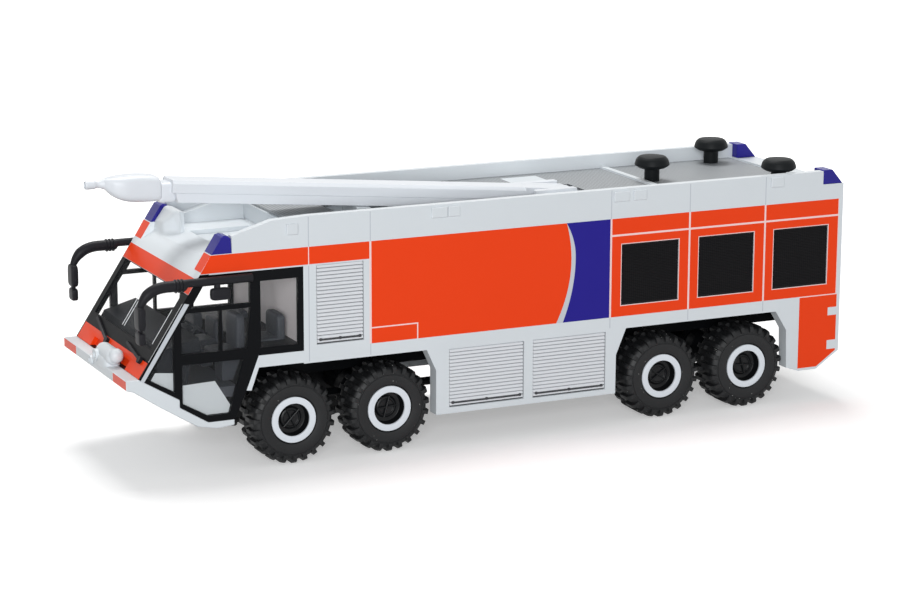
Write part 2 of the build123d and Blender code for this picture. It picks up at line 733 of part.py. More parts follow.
def boom_nozzle():
    """Round nozzle at the head's front."""
    tip = nozzle_length
    profile = [(0, 0), (nozzle_radius + 0.2, 0), (nozzle_radius - 0.15, 0.9), (nozzle_radius - 0.15, 1.4)]
    profile += [(nozzle_radius, 1.7), (nozzle_radius, tip), (nozzle_radius - 0.25, tip)]
    profile += [(nozzle_radius - 0.25, tip - 0.8), (0, tip - 0.8)]
    nozzle = Rot(0, 90, 0) * turned(profile, nozzle_sides)
    return at_tip(Pos(head_length, 0, nozzle_rise) * nozzle)


def boom_rest():
    """White saddle that carries the parked boom."""
    underside = boom_pivot_radius - boom_upper_height - boom_lower_height
    points = [(rest_low_x, slot_floor_z), (rest_high_x, slot_floor_z)]
    points += [(x, tilted_height(underside, x) - rest_gap) for x in (rest_high_x, rest_low_x)]
    return extrude_y(points, -slot_half, slot_half)


def boom_pin():
    """Pin across the slot, through the ears."""
    return rod_y(boom_pivot_x, boom_pivot_z, pin_radius, -pin_reach, pin_reach)


# Mirrors and wipers

def mirror_arm():
    """Arm along the door's top edge, forward and down to the housing, on two brackets."""
    bend_x = front_foot_x - 1.0
    housing_x = front_foot_x - 0.7
    path = FilletPolyline((door_rear_x, mirror_y, arm_z - 0.2), (bend_x, mirror_y, arm_z + 0.1),
                          (bend_x + 1, mirror_y, 31.0), radius=arm_bend)
    start = Plane(origin=path @ 0, z_dir=path % 0)
    arm = sweep(start * section(arm_radius, arm_sides), path=path)
    for i in range(3):
        x = front_foot_x - 7.75 + 0.6 * i
        arm += rod_x(mirror_y, arm_z, arm_radius + 0.15, x, x + 0.3, arm_sides)
    for x in (door_rear_x + 0.7, door_rear_x + 8.1):
        arm += block(x, x + 1.2, half, mirror_y, arm_z + 0.1, arm_z + 0.8)
    housing = block(housing_x, housing_x + 1.3, mirror_y - 1.5, mirror_y + 1.5, 27.0, 31.1)
    housing = chamfer(housing.edges().filter_by(Axis.X), 0.5)
    lower = block(housing_x + 0.1, housing_x + 1.2, mirror_y - 1.3, mirror_y + 1.3, 24.5, 26.7)
    lower = chamfer(lower.edges().filter_by(Axis.X), 0.4)
    link = rod_z(housing_x + 0.65, mirror_y, 0.35, 26.5, 27.2, 6)
    wide_x = door_rear_x + 4.1
    wide = block(wide_x, wide_x + 3.5, mirror_y - 0.4, mirror_y + 0.8, 30.9, 33.0)
    wide = chamfer(wide.edges().filter_by(Axis.Y), 0.5)
    stem = rod_z(wide_x + 2.2, mirror_y, 0.5, 32.8, arm_z - 0.2, 6)
    return arm + housing + lower + link + wide + stem


def wiper(ya, za, yb, zb):
    """Wiper lying over the black band, from its tip to its pivot."""
    lean = math.sqrt(1 + front_slope ** 2)
    length = math.hypot(yb - ya, (zb - za) * lean)
    angle = math.degrees(math.atan2((zb - za) * lean, yb - ya))
    blade = extrude(Rectangle(length, 0.5), amount=0.45)
    pivot = rod_z(length / 2, 0, 0.6, 0, 0.6, 8)
    return front_plane((ya + yb) / 2, (za + zb) / 2) * Rot(0, 0, angle) * (blade + pivot)


def wipers():
    """Two wipers below the windscreen."""
    return [wiper(-12.4, 22.3, -3.3, 20.2), wiper(5.1, 21.7, 13.8, 20.6)]


# Bumper nozzle

def bumper_nozzle():
    """Water nozzle on the bumper's ledge: foot, body and two muzzles."""
    x = bumper_x - 1.8
    z = bumper_top_z
    foot = rod_z(x + 0.3, 1.5, 1.4, z, z + 0.8, 12)
    yoke = block(x - 0.9, x + 1.3, -0.6, 3.6, z + 0.7, z + 2.4)
    yoke = chamfer(yoke.edges().filter_by(Axis.Z), 0.5)
    barrel = rod_y(x, z + 2.8, 1.25, -1.3, 4.3, 12)
    muzzle = rod_x(-0.4, z + 2.4, 0.8, x, x + 2.0, 10)
    small = rod_x(-3.2, z + 0.7, 0.7, x + 0.2, x + 1.9, 10)
    arm = block(x - 0.2, x + 1.0, -3.6, 0.5, z, z + 1.0)
    cap = turned([(0, -1.05), (0.75, -0.75), (1.05, 0), (0.75, 0.75), (0, 1.05)], 8)
    return foot + yoke + barrel + muzzle + small + arm + Pos(x - 0.5, 4.2, z + 3.3) * cap


# Chassis

def chassis_frame():
    """Black floor plate with two long rails and their cross members below."""
    plate_y = half - shell_wall
    rear = rear_x + 4.4
    plate = block(rear_x + shell_wall, chassis_front_x, -plate_y, plate_y, arch_z, floor_z)
    for y in (rail_y, -rail_y):
        plate += block(rear, chassis_front_x, y - rail_width / 2, y + rail_width / 2, rail_low_z, arch_z)
    for x in cross_member_x:
        plate += block(x - 0.8, x + 0.8, -rail_y, rail_y, rail_low_z + 0.4, rail_low_z + 2.9)
    return plate


def axle_housing(x):
    """Housing across the chassis with a centre bulge, spring pads and a bearing for the axle."""
    end = tyre_face_y - tyre_width - axle_end_gap
    shoulder = diff_half + 1.6
    profile = [(0, -end), (axle_tube_radius, -end), (axle_tube_radius, -shoulder), (diff_radius, -diff_half)]
    profile += [(radius, -y) for radius, y in profile[::-1]]
    body = at_axle(x, turned(profile, axle_sides))
    for y in (rail_y, -rail_y):
        body += block(x - 1.5, x + 1.5, y - rail_width / 2, y + rail_width / 2, wheel_radius, rail_low_z)
    return body - rod_y(x, wheel_radius, axle_radius + bearing_clearance, -end - 1, end + 1)


def driveline():
    """Transfer case between the rails and the shafts to each axle."""
    inner = rail_y - rail_width / 2
    case_rear, case_front = case_x
    case = block(case_rear, case_front, -inner, inner, belly_z + belly_thickness, arch_z)
    case = chamfer(case.edges().filter_by(Axis.Y).group_by(Axis.Z)[0], 0.5)
    reach = diff_radius + shaft_gap
    front_1, front_2, rear_1, rear_2 = axle_x
    case += rod_x(0, shaft_z, shaft_radius, rear_1 + reach, case_rear, axle_sides)
    case += rod_x(0, shaft_z, shaft_radius, case_front, front_2 - reach, axle_sides)
    front = rod_x(0, shaft_z, shaft_radius, front_2 + reach, front_1 - reach, axle_sides)
    rear = rod_x(0, shaft_z, shaft_radius, rear_2 + reach, rear_1 - reach, axle_sides)
    return [case, front, rear]


def belly_plate():
    """Black floor under the shafts in the rear half of the middle skirt."""
    y1 = half - skirt_return
    return block(mid_rear_x + 0.5, case_x[1], -y1, y1, belly_z, belly_z + belly_thickness)


# Tail

def tail_cover():
    """Engine cover on the rear wall with a row of louvres."""
    face_x = rear_x - cover_thickness
    cover = block(face_x, rear_x, -cover_half, cover_half, 20.0, deck_z - 2.7)
    for i in range(louvre_count):
        z = 22.0 + i * 1.1
        louvre = [(face_x, z), (face_x - 0.25, z + 0.1), (face_x, z + 0.7)]
        cover += extrude_y(louvre, 2 - cover_half, cover_half - 2)
    return cover


def tail_lamps():
    """Lamp clusters low on the rear wall."""
    return both_sides(block(rear_x - 0.45, rear_x, half - 5.65, half - 1.65, 12.0, 13.8))


def tail_handles():
    """Grab handles beside the engine cover."""
    outer_x = rear_x - handle_reach
    grip = block(outer_x, outer_x + 0.4, handle_y - 0.2, handle_y + 0.2, 26.0, 34.0)
    for z in (26.3, 33.7):
        grip += block(outer_x, rear_x, handle_y - 0.2, handle_y + 0.2, z - 0.3, z + 0.3)
    return both_sides(grip)


# Wheels

def rim(x):
    """Dished wheel with its raised ring and hub, outer face towards +Y."""
    face_y = tyre_face_y - face_inset
    inner_y = tyre_face_y - tyre_width
    ring_y = face_y + ring_thickness
    profile = [(0, inner_y), (tyre_bead_radius, inner_y), (tyre_bead_radius, face_y), (ring_radius, ring_y)]
    profile += [(ring_hole_radius, ring_y), (hub_radius, face_y - recess_depth)]
    profile += [(hub_radius - 0.2, face_y - hub_inset), (0, face_y - hub_inset)]
    disc = at_axle(x, turned(profile, wheel_sides))
    return disc - rod_y(x, wheel_radius, axle_radius, inner_y - 1, inner_y + axle_seat, axle_seat_sides)


def tread_ring(x, turn, y0, y1):
    """Ring of tread blocks with a toothed outline, turned by an angle."""
    foot = wheel_radius - lug_height
    tip = wheel_radius / math.cos(math.radians(lug_tip_angle))
    corners = ((-lug_foot_angle, foot), (-lug_tip_angle, tip), (lug_tip_angle, tip), (lug_foot_angle, foot))
    points = []
    for i in range(lug_count):
        middle = turn - 90 + 360 * i / lug_count
        for offset, radius in corners:
            angle = math.radians(middle + offset)
            points.append((x + radius * math.cos(angle), wheel_radius + radius * math.sin(angle)))
    return extrude_y(points, y0, y1) - rod_y(x, wheel_radius, tread_core_radius, y0 - 1, y1 + 1, wheel_sides)


def tyre(x):
    """Tyre between bead and tread, with blocks on both shoulders, one row half a pitch on."""
    y0 = tyre_face_y - tyre_width
    y1 = tyre_face_y
    low = y0 + tyre_shoulder_depth
    high = y1 - tyre_shoulder_depth
    profile = [(tyre_bead_radius, y0 + 0.3), (tyre_side_radius, y0), (tyre_shoulder_radius, low)]
    profile += [(tyre_shoulder_radius, high), (tyre_side_radius, y1), (tyre_bead_radius, y1 - 0.3)]
    carcass = at_axle(x, turned(profile, wheel_sides))
    middle = (low + high) / 2
    half_pitch = 180 / lug_count
    return carcass + (tread_ring(x, 0, middle, high) + tread_ring(x, half_pitch, low, middle))


def axle(x):
    """Pin that joins the two wheels of an axle."""
    end = tyre_face_y - tyre_width + axle_seat
    return rod_y(x, wheel_radius, axle_radius, -end, end)


os.makedirs("parts", exist_ok=True)

nodes = {
    "body_shell": body_shell(),
    "cab_roof": cab_roof(),
    "cab_frame": cab_frame(),
    "cab_lower": cab_lower(),
    "front_panel": front_panel(),
    "windscreen": windscreen(),
    "side_glass": on_both(side_glass()),
    "cab_floor": cab_floor(),
    "dashboard": dashboard(),
    "seats": seats(),
    "shutters": on_both([shutter(*row[1:]) for row in shutter_table]),
    "grilles": on_both([grille(*row[1:]) for row in grille_table]),
    "parapet_lamps": side_lamp_boxes(),
    "deck_gratings": deck_gratings(),
    "deck_plates": deck_plates(),
    "roof_vents": [vent(x, y) for x, y in vent_places],
    "beacons_front": front_beacons(),
    "beacons_rear": rear_beacons(),
    "mirrors": both_sides(mirror_arm()),
    "wipers": wipers(),
    "bumper_nozzle": bumper_nozzle(),
    "chassis_frame": chassis_frame(),
    "axle_housings": [axle_housing(x) for x in axle_x],
    "driveline": driveline(),
    "belly_plate": belly_plate(),
    "engine_cover": tail_cover(),
    "tail_lamps": tail_lamps(),
    "tail_handles": tail_handles(),
    "boom_rest": boom_rest(),
    "boom_pin": boom_pin(),
    "boom_upper": boom_upper(),
    "boom_lower": boom_lower(),
    "boom_head": boom_head(),
    "boom_nozzle": boom_nozzle(),
}
for number, x in enumerate(axle_x, start=1):
    nodes[f"axle_{number}"] = axle(x)
    nodes[f"wheels_{number}"] = both_sides(rim(x))
    nodes[f"tyres_{number}"] = both_sides(tyre(x))

for name, solids in nodes.items():
    write_node(name, solids)
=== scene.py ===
import math
from contextlib import contextmanager

import bmesh
import bpy
import numpy as np
from bpy.props import FloatProperty, FloatVectorProperty, IntProperty, PointerProperty
from mathutils import Matrix, Vector


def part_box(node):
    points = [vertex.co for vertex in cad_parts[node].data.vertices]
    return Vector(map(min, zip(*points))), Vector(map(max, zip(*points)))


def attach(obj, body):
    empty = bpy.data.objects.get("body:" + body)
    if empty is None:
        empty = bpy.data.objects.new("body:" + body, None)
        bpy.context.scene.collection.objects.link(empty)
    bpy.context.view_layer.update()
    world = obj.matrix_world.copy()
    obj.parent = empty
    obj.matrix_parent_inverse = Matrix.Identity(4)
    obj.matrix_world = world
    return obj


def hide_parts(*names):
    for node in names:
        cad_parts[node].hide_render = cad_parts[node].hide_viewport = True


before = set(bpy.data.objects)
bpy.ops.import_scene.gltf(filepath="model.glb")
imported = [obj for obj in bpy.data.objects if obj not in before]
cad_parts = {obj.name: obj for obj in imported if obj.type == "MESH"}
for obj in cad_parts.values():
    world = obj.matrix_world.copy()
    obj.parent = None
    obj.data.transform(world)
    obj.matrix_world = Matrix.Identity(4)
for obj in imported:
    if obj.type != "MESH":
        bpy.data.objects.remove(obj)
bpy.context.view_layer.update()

bl_info = {
    "name": "Airport fire truck model",
    "version": (1, 0, 0),
    "blender": (4, 5, 0),
    "location": "View3D > Sidebar > Truck",
    "description": "Dresses the packed scale model of an eight-wheeled airport fire truck",
    "category": "Object",
}

MM = 0.001
HALF_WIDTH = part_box("body_shell")[1].y / MM


def length(name, description, default):
    """Property for a length in metres."""
    return FloatProperty(name=name, description=description, default=default, unit="LENGTH", precision=6)


def tint(name, description, *default):
    """Property for a colour."""
    return FloatVectorProperty(name=name, description=description, default=default, subtype="COLOR", size=3)


class TruckSizes(bpy.types.PropertyGroup):
    """Sizes of the pieces that this file makes, in metres."""
    print_thickness: length("Print thickness", "Thickness of the printed colours", 0.00002)
    lugs: IntProperty(name="Tread blocks", description="Blocks on each shoulder of a tyre", default=23)
    arm_radius: length("Mirror arm", "Radius of the mirror arms", 0.00095)
    camera_distance: length("Camera distance", "From the camera to its target", 0.49901)


class TruckColours(bpy.types.PropertyGroup):
    """Colours of the plastics and prints."""
    white: tint("White plastic", "Body and cab roof", 0.68, 0.72, 0.75)
    orange: tint("Orange print", "Fields and bands", 0.86, 0.052, 0.004)
    blue: tint("Blue print", "Field behind the crescent", 0.02, 0.014, 0.25)
    line: tint("Print line", "Light lines between the fields", 0.9, 0.66, 0.64)
    black: tint("Black plastic", "Cab frame and chassis", 0.005, 0.0055, 0.0065)
    arm: tint("Mirror plastic", "Mirrors and wipers", 0.016, 0.016, 0.019)
    interior: tint("Interior plastic", "Seats and cab floor", 0.045, 0.05, 0.06)
    rubber: tint("Rubber", "Tyres", 0.010, 0.0105, 0.0115)
    lamp: tint("Lamp blue", "Beacons", 0.016, 0.012, 0.24)
    red: tint("Lamp red", "Tail lamps", 0.45, 0.015, 0.012)
    grating: tint("Grating", "Printed walkway", 0.38, 0.405, 0.425)
    # Grey of the strips on the panel grooves: painted shade of the grooves
    groove_shade_grey: tint("Groove shade", "Grooves between the panels", 0.50, 0.53, 0.58)


def sizes():
    return bpy.context.scene.truck_sizes


def colours():
    return bpy.context.scene.truck_colours


# Shader nodes

def set_inputs(node, inputs):
    """Give each named input of a node its value, or link the socket that feeds it."""
    for name, value in inputs.items():
        if isinstance(value, bpy.types.NodeSocket):
            node.id_data.links.new(value, node.inputs[name])
        else:
            node.inputs[name].default_value = value


def add_node(tree, kind, inputs=None, **settings):
    """New shader node with its settings and its inputs."""
    node = tree.nodes.new("ShaderNode" + kind)
    for name, value in settings.items():
        setattr(node, name, value)
    set_inputs(node, inputs or {})
    return node


def calculate(tree, operation, *values):
    """Result of a Math node on numbers or sockets."""
    return add_node(tree, "Math", dict(enumerate(values)), operation=operation).outputs[0]


def noise(tree, place, scale, detail=2):
    """Noise between 0 and 1."""
    return add_node(tree, "TexNoise", {"Vector": place, "Scale": scale, "Detail": detail}).outputs["Fac"]


def blend(tree, factor, a, b, kind="MIX"):
    """Colour between two colours."""
    inputs = {"Factor": factor, "A": a, "B": b}
    return add_node(tree, "Mix", inputs, data_type="RGBA", blend_type=kind).outputs["Result"]


def spread(tree, value, start=0, stop=1, low=0, high=1, kind="LINEAR"):
    """Value that runs from low to high while the given one runs from start to stop."""
    inputs = {"Value": value, "From Min": start, "From Max": stop, "To Min": low, "To Max": high}
    return add_node(tree, "MapRange", inputs, interpolation_type=kind).outputs["Result"]


def sine_wave(tree, value, pitch):
    """Sine of 2 pi value / pitch, with the pitch in millimetres."""
    return calculate(tree, "SINE", calculate(tree, "MULTIPLY", value, 2 * math.pi / (pitch * MM)))


def add_bump(tree, shader, height, strength, distance, invert=False):
    """Bump from a height, on a shader's normal."""
    inputs = {"Height": height, "Strength": strength, "Distance": distance}
    set_inputs(shader, {"Normal": add_node(tree, "Bump", inputs, invert=invert).outputs["Normal"]})


def new_group(name, inputs, outputs):
    """Shader node group, the sockets that it is given and the node of its results.
    Inputs go by their default: none for a vector, four numbers for a colour, or one number."""
    kinds = {type(None): "NodeSocketVector", tuple: "NodeSocketColor", float: "NodeSocketFloat"}
    group = bpy.data.node_groups.new(name, "ShaderNodeTree")
    for label, default in inputs.items():
        socket = group.interface.new_socket(label, in_out="INPUT", socket_type=kinds[type(default)])
        if default is not None:
            socket.default_value = default
    for label, kind in outputs.items():
        group.interface.new_socket(label, in_out="OUTPUT", socket_type=kind)
    return group, group.nodes.new("NodeGroupInput").outputs, group.nodes.new("NodeGroupOutput")


def moulded_skin():
    """Group: clouding of the colour, fine grain and uneven gloss of moulded plastic."""
    if "moulded skin" in bpy.data.node_groups:
        return bpy.data.node_groups["moulded skin"]
    inputs = {"Vector": None, "Colour": (0.5, 0.5, 0.5, 1), "Clouding": 0.06, "Grain scale": 9000.0,
              "Roughness": 0.4, "Gloss shift": 0.06}
    outputs = {"Colour": "NodeSocketColor", "Roughness": "NodeSocketFloat", "Height": "NodeSocketFloat"}
    group, given, result = new_group("moulded skin", inputs, outputs)
    place = given["Vector"]
    dark = calculate(group, "MULTIPLY", noise(group, place, 110, 3), given["Clouding"])
    uneven = calculate(group, "SUBTRACT", noise(group, place, 420, 4), 0.5)
    set_inputs(result, {
        "Colour": blend(group, dark, given["Colour"], (0.3, 0.3, 0.3, 1), "MULTIPLY"),
        "Roughness": calculate(group, "MULTIPLY_ADD", uneven, given["Gloss shift"], given["Roughness"]),
        "Height": noise(group, place, given["Grain scale"]),
    })
    return group


def speckles():
    """Group: scattered light specks, such as dust and lint on dark rubber and plastic."""
    if "specks" in bpy.data.node_groups:
        return bpy.data.node_groups["specks"]
    inputs = {"Vector": None, "Colour": (0.02, 0.02, 0.02, 1), "Speck colour": (0.4, 0.4, 0.38, 1),
              "Scale": 1400.0, "Size": 0.1}
    group, given, result = new_group("specks", inputs, {"Colour": "NodeSocketColor"})
    place = given["Vector"]
    cells = add_node(group, "TexVoronoi", {"Vector": place, "Scale": given["Scale"]})
    near = calculate(group, "LESS_THAN", cells.outputs["Distance"], given["Size"])
    dusty = calculate(group, "GREATER_THAN", noise(group, place, 300), 0.58)
    specks = calculate(group, "MULTIPLY", near, dusty)
    set_inputs(result, {"Colour": blend(group, specks, given["Colour"], given["Speck colour"])})
    return group


# Materials

def dust(tree, place, colour):
    """The colour with a few specks of dust."""
    group = add_node(tree, "Group", {"Vector": place, "Colour": colour}, node_tree=speckles())
    return group.outputs["Colour"]


def upright_lines(tree, place, colour):
    """The colour with faint upright lines."""
    split = add_node(tree, "SeparateXYZ", {"Vector": place})
    lines = spread(tree, sine_wave(tree, split.outputs["X"], 0.42), 0.6, 1, 0, 0.5)
    return blend(tree, lines, colour, (0.025, 0.022, 0.022, 1))


# Each plastic's slot, its colour or the colour's property, then roughness, grain, clouding and specular level
PLASTICS = {
    "white plastic": ("body_white", "white", 0.38, 0.03, 0.05, 0.5),
    "boom white": ("body_white", (0.72, 0.75, 0.79), 0.38, 0.03, 0.04, 0.5),
    "shutter white": ("body_white", (0.72, 0.74, 0.77), 0.34, 0.04, 0.06, 0.5),
    "line print": ("body_white", "line", 0.4, 0.02, 0.06, 0.5),
    "pale print": ("body_white", (0.55, 0.58, 0.62), 0.4, 0.02, 0.06, 0.5),
    "screen line": ("body_white", (0.85, 0.87, 0.9), 0.4, 0.02, 0.06, 0.5),
    # Grey strips on the panel grooves: painted shade
    "groove shade grey": ("body_white", "groove_shade_grey", 0.6, 0.02, 0.06, 0.5),
    "lining": ("body_white", (0.62, 0.66, 0.68), 0.5, 0.02, 0.06, 0.5),
    "orange print": ("panel_orange", "orange", 0.36, 0.03, 0.05, 0.2),
    "blue print": ("lamp_blue", "blue", 0.36, 0.03, 0.05, 0.12),
    "beacon blue": ("lamp_blue", "lamp", 0.25, 0.01, 0.15, 0.2),
    "lamp red": ("lamp_red", "red", 0.25, 0.02, 0.06, 0.5),
    "interior plastic": ("interior_grey", "interior", 0.5, 0.1, 0.1, 0.3),
    "dash black": ("interior_grey", (0.011, 0.0125, 0.0155), 0.5, 0.08, 0.1, 0.08),
    "cab back": ("interior_grey", (0.9, 0.84, 0.84), 0.5, 0.02, 0.06, 0.5),
    "black plastic": ("frame_black", "black", 0.36, 0.04, 0.06, 0.05),
    "mirror plastic": ("frame_black", "arm", 0.4, 0.08, 0.1, 0.1),
    # Near-black for the sheet behind the shutters, which is painted shade of the gap round them, and for the
    # shutters' black lift bars
    "shutter gap shade and bar black": ("frame_black", (0.03, 0.03, 0.035), 0.6, 0.02, 0.06, 0.5),
    "grille black": ("frame_black", (0.006, 0.006, 0.007), 0.5, 0.05, 0.06, 0.1),
    "vent black": ("frame_black", (0.009, 0.0105, 0.0115), 0.46, 0.08, 0.06, 0.09),
    "wheel black": ("frame_black", (0.006, 0.0065, 0.0075), 0.3, 0.04, 0.06, 0.2),
    "ring white": ("wheel_white", (0.74, 0.78, 0.83), 0.35, 0.02, 0.06, 0.5),
    "rubber": ("tyre_rubber", "rubber", 0.5, 0.16, 0.2, 0.28),
}
COVERS = {"rubber": dust, "grille black": upright_lines}
GRAIN_SCALE = 9000.0
GRAIN_SCALES = {"rubber": 5000.0}
GLOSS_SHIFT = 0.08


def blank_material(name):
    """Material with only a Principled shader and the object's own coordinates."""
    material = bpy.data.materials.new(name)
    material.use_nodes = True
    tree = material.node_tree
    return material, tree, tree.nodes["Principled BSDF"], add_node(tree, "TexCoord").outputs["Object"]


def plastic(name):
    """Moulded or printed plastic: colour and gloss from the skin group, its grain as a bump."""
    if name in bpy.data.materials:
        return bpy.data.materials[name]
    colour, roughness, grain, clouding, specular = PLASTICS[name][1:]
    if isinstance(colour, str):
        colour = getattr(colours(), colour)
    material, tree, shader, place = blank_material(name)
    skin = add_node(tree, "Group", {
        "Vector": place,
        "Colour": (*colour, 1),
        "Clouding": clouding,
        "Grain scale": GRAIN_SCALES.get(name, GRAIN_SCALE),
        "Roughness": roughness,
        "Gloss shift": GLOSS_SHIFT,
    }, node_tree=moulded_skin()).outputs
    top = skin["Colour"]
    if name in COVERS:
        top = COVERS[name](tree, place, top)
    set_inputs(shader, {"Base Color": top, "Roughness": skin["Roughness"], "Specular IOR Level": specular})
    add_bump(tree, shader, skin["Height"], grain, 0.0001)
    return material


def clear_plastic():
    """Thin clear plastic: nearly see-through, with a faint sheen and ripples."""
    material, tree, shader, place = blank_material("clear plastic")
    set_inputs(shader, {"Base Color": (0.2, 0.21, 0.22, 1), "Roughness": 0.06, "Alpha": 0.04})
    add_bump(tree, shader, noise(tree, place, 160), 0.02, 0.0002)
    return material


def steel():
    """Drawn pin with fine lines along its length."""
    if "pin steel" in bpy.data.materials:
        return bpy.data.materials["pin steel"]
    material, tree, shader, place = blank_material("pin steel")
    stretch = add_node(tree, "Mapping", {"Vector": place, "Scale": (9000, 300, 9000)})
    lines = spread(tree, noise(tree, stretch.outputs["Vector"], 1), low=0.25, high=0.45)
    set_inputs(shader, {"Base Color": (0.42, 0.42, 0.43, 1), "Metallic": 1, "Roughness": lines})
    return material


def grating_print():
    """Walkway printed as a fine slanted grid: light ribs over dark openings, which lie where the product of
    two sine waves is high."""
    material, tree, shader, place = blank_material("grating print")
    turn = add_node(tree, "Mapping", {"Vector": place, "Rotation": (0, 0, math.radians(45))})
    split = add_node(tree, "SeparateXYZ", {"Vector": turn.outputs["Vector"]})
    waves = [sine_wave(tree, split.outputs[axis], 0.95) for axis in "XY"]
    holes = spread(tree, calculate(tree, "MULTIPLY", *waves), -0.15, 0.5)
    colour = blend(tree, holes, (*colours().grating, 1), (0.07, 0.072, 0.078, 1))
    set_inputs(shader, {"Base Color": colour, "Roughness": 0.5})
    add_bump(tree, shader, holes, 0.4, 0.00008, invert=True)
    return material


def paint(piece, material):
    """Give a piece this one material."""
    piece.data.materials.clear()
    piece.data.materials.append(material)


# Mesh helpers

@contextmanager
def editing(mesh):
    """The mesh opened for editing, and written back at the end."""
    shape = bmesh.new()
    shape.from_mesh(mesh)
    yield shape
    shape.to_mesh(mesh)
    shape.free()


def grid_faces(rows, columns, round_rows=False, round_columns=False):
    """Corners of the faces between a grid's points, row by row; a round direction closes on itself."""
    r = np.arange(rows if round_rows else rows - 1)
    c = np.arange(columns if round_columns else columns - 1)
    r, c = np.meshgrid(r, c, indexing="ij")
    next_r = (r + 1) % rows
    next_c = (c + 1) % columns
    corners = [r * columns + c, next_r * columns + c, next_r * columns + next_c, r * columns + next_c]
    return np.stack(corners, axis=-1).reshape(-1, 4)


def grid(points, round_rows=False, round_columns=False):
    """Surface from an array of rows, columns and three coordinates in millimetres."""
    rows, columns = points.shape[:2]
    return points.reshape(-1, 3), grid_faces(rows, columns, round_rows, round_columns)


def mirrored(surface):
    """The same surface on the other side of the centre line."""
    points, faces = surface
    return points * np.array([1, -1, 1]), faces[:, ::-1]


def both_sides(surfaces):
    """The surfaces and their mirror images."""
    return surfaces + [mirrored(surface) for surface in surfaces]


def piece_mesh(name, surfaces):
    """Mesh of several surfaces, with coinciding points merged and normals outward."""
    counts = np.cumsum([0] + [len(points) for points, faces in surfaces])
    points = np.concatenate([points for points, faces in surfaces]) * MM
    faces = np.concatenate([faces + start for (own, faces), start in zip(surfaces, counts)])
    mesh = bpy.data.meshes.new(name)
    mesh.vertices.add(len(points))
    mesh.vertices.foreach_set("co", points.astype(np.float32).ravel())
    mesh.loops.add(faces.size)
    mesh.loops.foreach_set("vertex_index", faces.astype(np.int32).ravel())
    mesh.polygons.add(len(faces))
    mesh.polygons.foreach_set("loop_start", np.arange(len(faces), dtype=np.int32) * 4)
    mesh.update(calc_edges=True)
    with editing(mesh) as shape:
        bmesh.ops.remove_doubles(shape, verts=shape.verts, dist=1e-6)
        bmesh.ops.recalc_face_normals(shape, faces=shape.faces)
    return mesh


def finish_piece(piece, material, smooth, replaced, body):
    """Link a piece, shade it, hang it on the empty of the body it rides on, and hide the CAD part that it
    stands for.
    """
    bpy.context.scene.collection.objects.link(piece)
    paint(piece, plastic(material))
    piece.data.polygons.foreach_set("use_smooth", np.full(len(piece.data.polygons), smooth is not None))
    if smooth is not None:
        piece.data.set_sharp_from_angle(angle=math.radians(smooth))
    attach(piece, body)
    if replaced:
        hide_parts(replaced)


def make_piece(name, surfaces, material, replaced=None, smooth=40, edge=0.0, body="truck"):
    """Piece from surfaces in millimetres, with its edges rounded if asked."""
    piece = bpy.data.objects.new(name, piece_mesh(name, surfaces))
    finish_piece(piece, material, smooth, replaced, body)
    if edge:
        round_edges(piece, edge)
    return piece


def round_edges(piece, width, segments=2):
    """Live bevel on the sharp edges, with its width in millimetres."""
    bevel = piece.modifiers.new("soft edges", "BEVEL")
    bevel.width = width * MM
    bevel.segments = segments
    bevel.limit_method = "ANGLE"
    bevel.angle_limit = math.radians(30)
    bevel.harden_normals = True


def softened(node, material, width, segments=2, body="truck"):
    """Copy of a CAD node with its flat faces joined and its edges rounded; it stands for the node."""
    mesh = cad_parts[node].data.copy()
    mesh.name = node + "_soft"
    with editing(mesh) as shape:
        bmesh.ops.remove_doubles(shape, verts=shape.verts, dist=2e-6)
        bmesh.ops.dissolve_limit(shape, angle_limit=math.radians(0.5), verts=shape.verts, edges=shape.edges)
    piece = bpy.data.objects.new(node + "_soft", mesh)
    finish_piece(piece, material, 30, node, body)
    round_edges(piece, width, segments)
    return piece


def lathe(profile, steps, axis="z", centre=(0, 0, 0)):
    """Surface turned about an axis: each profile point is a radius and a place along the axis.
    Row i, column j is that radius at the angle 2 pi j / steps."""
    profile = np.asarray(profile, float)
    angle = 2 * np.pi * np.arange(steps) / steps
    a = profile[:, :1] * np.cos(angle)
    b = profile[:, :1] * np.sin(angle)
    along = np.repeat(profile[:, 1:], steps, axis=1)
    order = {"x": (along, a, b), "y": (b, along, a), "z": (a, b, along)}[axis]
    return grid(np.stack(order, axis=-1) + np.asarray(centre, float), round_columns=True)


def rounded_profile(points, radius, steps=4):
    """Profile with each inner corner replaced by a short curve.
    A corner's curve is (1-t)^2 start + 2t(1-t) corner + t^2 end, with start and end a radius away."""
    points = np.asarray(points, float)
    made = [points[:1]]
    t = np.linspace(0, 1, steps + 1)[:, None]
    for before, corner, after in zip(points, points[1:], points[2:]):
        to_before = before - corner
        to_after = after - corner
        reach_before = min(radius, np.linalg.norm(to_before) * 0.49)
        reach_after = min(radius, np.linalg.norm(to_after) * 0.49)
        start = corner + to_before / np.linalg.norm(to_before) * reach_before
        end = corner + to_after / np.linalg.norm(to_after) * reach_after
        made.append((1 - t) ** 2 * start + 2 * t * (1 - t) * corner + t ** 2 * end)
    made.append(points[-1:])
    return np.concatenate(made)


def turned(profile, rounding, steps, axis, centre):
    """Turned surface whose profile has rounded corners."""
    return lathe(rounded_profile(profile, rounding), steps, axis, centre)


